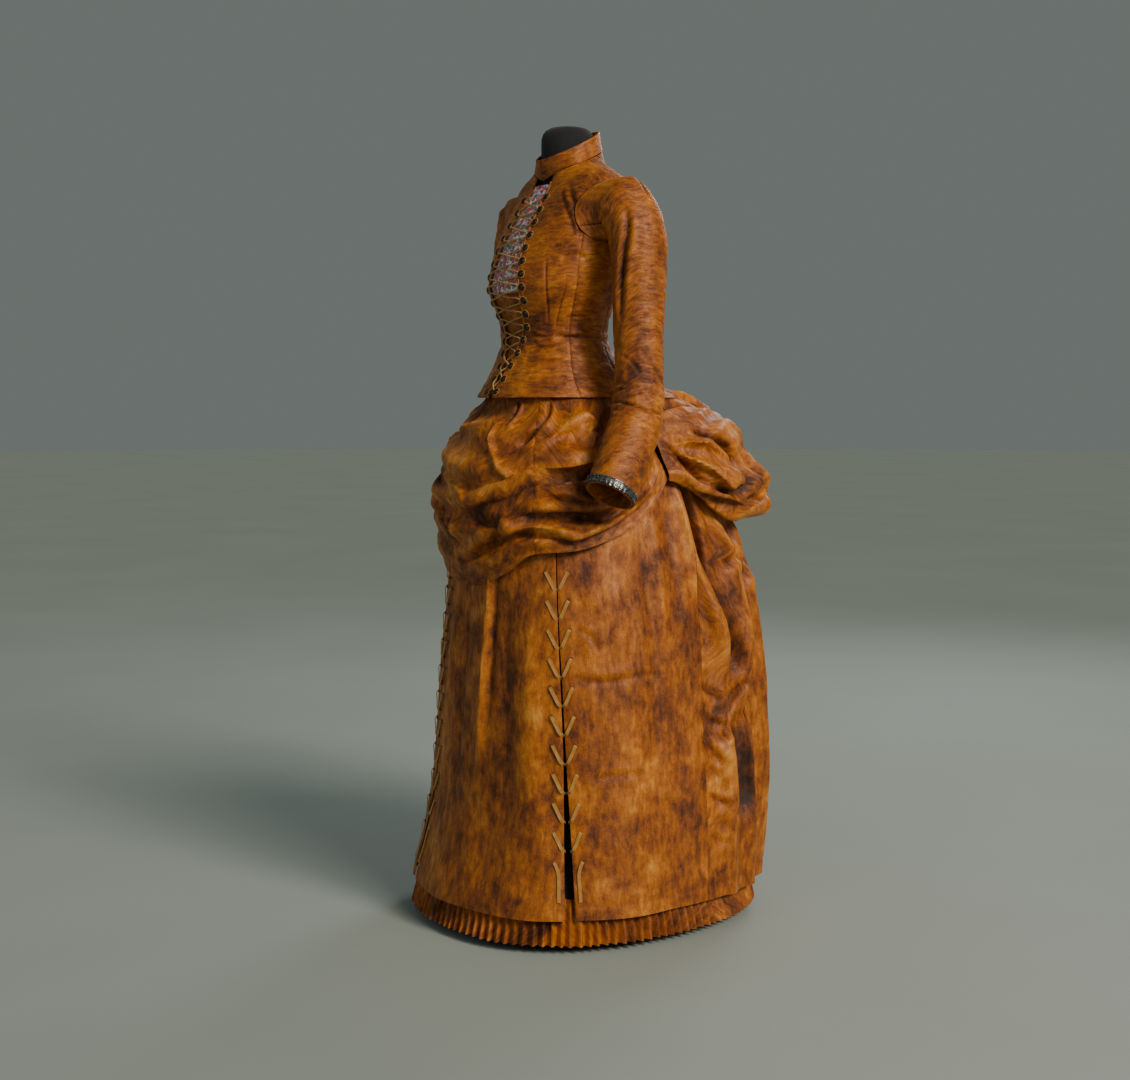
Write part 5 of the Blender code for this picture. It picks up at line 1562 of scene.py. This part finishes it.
def skirt_lace(name, side, hand):
    """One ribbon beside the slit, from eyelet to eyelet by way of the slit's edge, ending in a loose tail."""
    rest = 0.0030 if side > 0 else 0.0048
    from_edge = 0.0018
    stroke = 0.65

    def at(z, inset):
        z = np.array(float(z))
        middle = column(SLIT[side], "angle", z)
        across = hand * (inset + column(SLIT_HALF, "depth", z))
        return side * (middle + np.degrees(across / reach(SKIRT, middle, z))), z

    spots, lifts = [], []
    for i in range(EYELETS):
        z = EYELET_TOP - EYELET_PITCH * i
        spots.append(at(z, EYELET_INSET))
        lifts.append(rest)
        if i < EYELETS - 1:
            for share in (0.5, 0.93, 1.0):
                inset = EYELET_INSET + (from_edge - EYELET_INSET) * share
                spots.append(at(z - EYELET_PITCH * stroke * share, inset))
                lifts.append(rest)
            spots[-1] = at(z - EYELET_PITCH * stroke, -0.0008)
            lifts[-1] = -0.0010
            spots.append(at(z - EYELET_PITCH * (stroke + 0.03), from_edge))
            lifts.append(-0.0060)
            spots.append(at(z - EYELET_PITCH * 0.97, EYELET_INSET - 0.0006))
            lifts.append(-0.0060)
    last_z = EYELET_TOP - EYELET_PITCH * (EYELETS - 1)
    for drop in (0.022, 0.045, 0.068):
        spots.append(at(last_z - drop, 0.010))
        lifts.append(rest)
    outs = [outward(outer_skirt, a, z) for a, z in spots]
    route = [outer_skirt(a, z) + o * lift for (a, z), o, lift in zip(spots, outs, lifts)]
    thing, line = flat_ribbon(name, route, outs, RIBBON_WIDTH, RIBBON, ribbon_silk)
    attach(thing, "root")
    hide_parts(name)
    rings = []
    for i in range(EYELETS):
        eye = at(EYELET_TOP - EYELET_PITCH * i, EYELET_INSET)
        centre, out = outer_skirt(*eye), outward(outer_skirt, *eye)
        across = unit(np.cross(out, [0.0, 0.0, 1.0]))
        rings += stitch_ring(centre, out, across, 12, 0.0034, rest * 0.35)
    worked = repeated(name + "_eyelets", *zip(*rings), 0.0008, 1.3, stitch_thread, "stitch")
    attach(worked, "root")


for side, word in ((1, "left"), (-1, "right")):
    skirt_lace(f"skirt_lace_{word}_a", side, -1)
    skirt_lace(f"skirt_lace_{word}_b", side, 1)


def stitch_line(name, surface, u, v, lift):
    """A row of hand stitches along a line on the cloth."""
    normal = outward(surface, u, v)
    path = surface(u, v) + normal * lift[..., None]
    points, ways = evenly(path, STITCH_PITCH)
    nearest = np.argmin(np.linalg.norm(path[None] - points[:, None], axis=2), axis=1)
    row = repeated(name, points, ways, normal[nearest], STITCH_HALF, 3.0, stitch_thread, "stitch")
    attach(row, "root")


for word, first, last, count in (("front", -25.0, 54.0, 160), ("left", 60.0, 111.0, 120)):
    hem_angle = np.linspace(first, last, count)
    hem_z = np.full(hem_angle.shape, OUTER_HEM + HEM_DEPTH)
    lift = skirt_relief(hem_angle, hem_z) + 0.0002
    stitch_line("hem_stitches_" + word, outer_skirt, hem_angle, hem_z, lift)


def collar_hook():
    """A bent bronze hook on the collar's end."""
    centre = collar_surface(np.array(9.0), np.array(0.30))
    out = outward(collar_surface, np.array(9.0), np.array(0.30))
    across = np.cross(out, [0.0, 0.0, 1.0])
    up = np.cross(across, out)
    bend = [(-0.0030, 0.0012), (-0.0010, 0.0022), (0.0016, 0.0020), (0.0028, 0.0004), (0.0018, -0.0012),
            (-0.0004, -0.0014), (-0.0026, -0.0020)]
    path = finer([centre + out * 0.0030 + across * a + up * b for a, b in bend], 0.0004)
    thing = tube_mesh("collar_hook", path, np.full((len(path), 8), 0.0007), bronze)
    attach(thing, "root")
    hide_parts("collar_hook")


collar_hook()

# The dress form and its stand


def form_cover():
    """The form's stretched jersey, closed over the neck in a low dome."""
    inset = smooth_curve(np.linspace(1.105, 1.350, 24), [1.090, 1.150, 1.300, 1.335, 1.352],
                         [0.0070, 0.0068, 0.0060, 0.0130, 0.0180])
    angle = np.linspace(0.0, 360.0, 73)[:-1]
    turned = np.radians(angle)
    rings = []
    hips = [
        Section(0.820, 0.112, -0.075, 0.100, 0.010, 2.0),
        Section(0.880, 0.122, -0.078, 0.105, 0.010, 2.0),
        Section(0.950, 0.117, -0.073, 0.103, 0.010, 2.0),
        Section(1.000, 0.104, -0.062, 0.096, 0.010, 2.0),
    ]
    for z in np.linspace(0.820, 1.000, 10):
        rings.append(around(hips, angle, np.full(angle.shape, z)))
    for z in (1.036, 1.072):
        ring = around(SKIRT, angle, 1.040 + 0.0 * angle, -0.0053)
        ring[..., 2] = z
        rings.append(ring)
    for z, depth in zip(np.linspace(1.105, 1.350, 24), inset):
        rings.append(around(TORSO, angle, np.full(angle.shape, z), -depth))
    neck = [
        (1.374, 0.0500, 0.0500, 0.0430), (1.383, 0.0484, 0.0498, 0.0412),
        (1.392, 0.0475, 0.0498, 0.0400), (1.406, 0.0470, 0.0495, 0.0394),
        (1.420, 0.0465, 0.0490, 0.0390), (1.429, 0.0440, 0.0462, 0.0390),
        (1.4355, 0.0395, 0.0415, 0.0390), (1.4400, 0.0320, 0.0335, 0.0390),
        (1.4423, 0.0220, 0.0230, 0.0390), (1.4430, 0.0100, 0.0105, 0.0390),
    ]
    for z, rx, ry, middle in neck:
        rings.append(np.stack([rx * np.sin(turned), middle - ry * np.cos(turned), z + 0.0 * angle], axis=-1))
    grid = np.array(rings)
    uv = np.stack(np.broadcast_arrays(turned[None, :] * 0.11, grid[:, :1, 2]), axis=-1).reshape(-1, 2)
    thing = piece_of("form_body", grid.reshape(-1, 3), tube_faces(*grid.shape[:2]), jersey, uv)
    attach(thing, "root")
    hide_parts("form_body")


form_cover()

for node, finish in (("form_stand", wood), ("waistband", band_cotton)):
    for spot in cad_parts[node].material_slots:
        spot.material = finish

# The floor, the light and the camera


def studio():
    bpy.ops.mesh.primitive_circle_add(vertices=96, radius=30.0, fill_type="NGON")
    floor = bpy.context.object
    floor.name = "studio_floor"
    floor.data.materials.append(plain_floor("matte_studio_paint"))
    world = bpy.data.worlds.new("soft_room")
    bpy.context.scene.world = world
    world.use_nodes = True
    room = world.node_tree.nodes["Background"]
    room.inputs["Color"].default_value = colour("#98A29D")
    room.inputs["Strength"].default_value = 0.46
    lights = [
        ("key", (3.5, 0.6, 2.5), 1.0, 62.0, "#FFF2E0"),
        ("fill", (0.9, -3.6, 1.9), 2.2, 9.0, "#EEF3FF"),
        ("back", (-1.6, 3.0, 2.6), 1.4, 34.0, "#FFFFFF"),
    ]
    sun = bpy.data.lights.new("window", "SUN")
    sun.energy = 1.6
    sun.angle = math.radians(24.0)
    sun.color = colour("#FFF3E2")[:3]
    pane = bpy.data.objects.new("window", sun)
    bpy.context.scene.collection.objects.link(pane)
    pane.rotation_euler = Vector((-3.4, -0.5, -2.5)).to_track_quat("-Z", "Y").to_euler()
    for name, place, size, power, code in lights:
        lamp = bpy.data.lights.new(name, "AREA")
        lamp.shape = "DISK"
        lamp.size = size
        lamp.energy = power
        lamp.color = colour(code)[:3]
        holder = bpy.data.objects.new(name, lamp)
        bpy.context.scene.collection.objects.link(holder)
        holder.location = place
        aim = Vector((0.0, 0.1, 0.85)) - Vector(place)
        holder.rotation_euler = aim.to_track_quat("-Z", "Y").to_euler()


studio()


def photo_camera():
    """Seen from the wearer's left front, a little below the shoulders, 3.1 m from the body's middle."""
    azimuth = math.radians(58.0)
    distance = 3.1
    height = 0.95
    focal = 1690.0
    width = 1130.0
    sensor = 36.0
    horizon = 400.0
    middle_row = 540.0
    axis_column = 550.0
    lens = bpy.data.cameras.new("photo_camera")
    lens.sensor_width = sensor
    lens.lens = focal / width * sensor
    lens.clip_end = 60.0
    camera = bpy.data.objects.new("photo_camera", lens)
    bpy.context.scene.collection.objects.link(camera)
    camera.location = (distance * math.sin(azimuth), -distance * math.cos(azimuth), height)
    back = Vector((-math.sin(azimuth), math.cos(azimuth), 0.0))
    right = Vector((math.cos(azimuth), math.sin(azimuth), 0.0))
    pan = (width / 2 - axis_column) / focal
    tilt = (middle_row - horizon) / focal
    aim = back + right * pan + Vector((0.0, 0.0, -tilt))
    camera.rotation_euler = aim.to_track_quat("-Z", "Y").to_euler()
    bpy.context.scene.camera = camera


photo_camera()
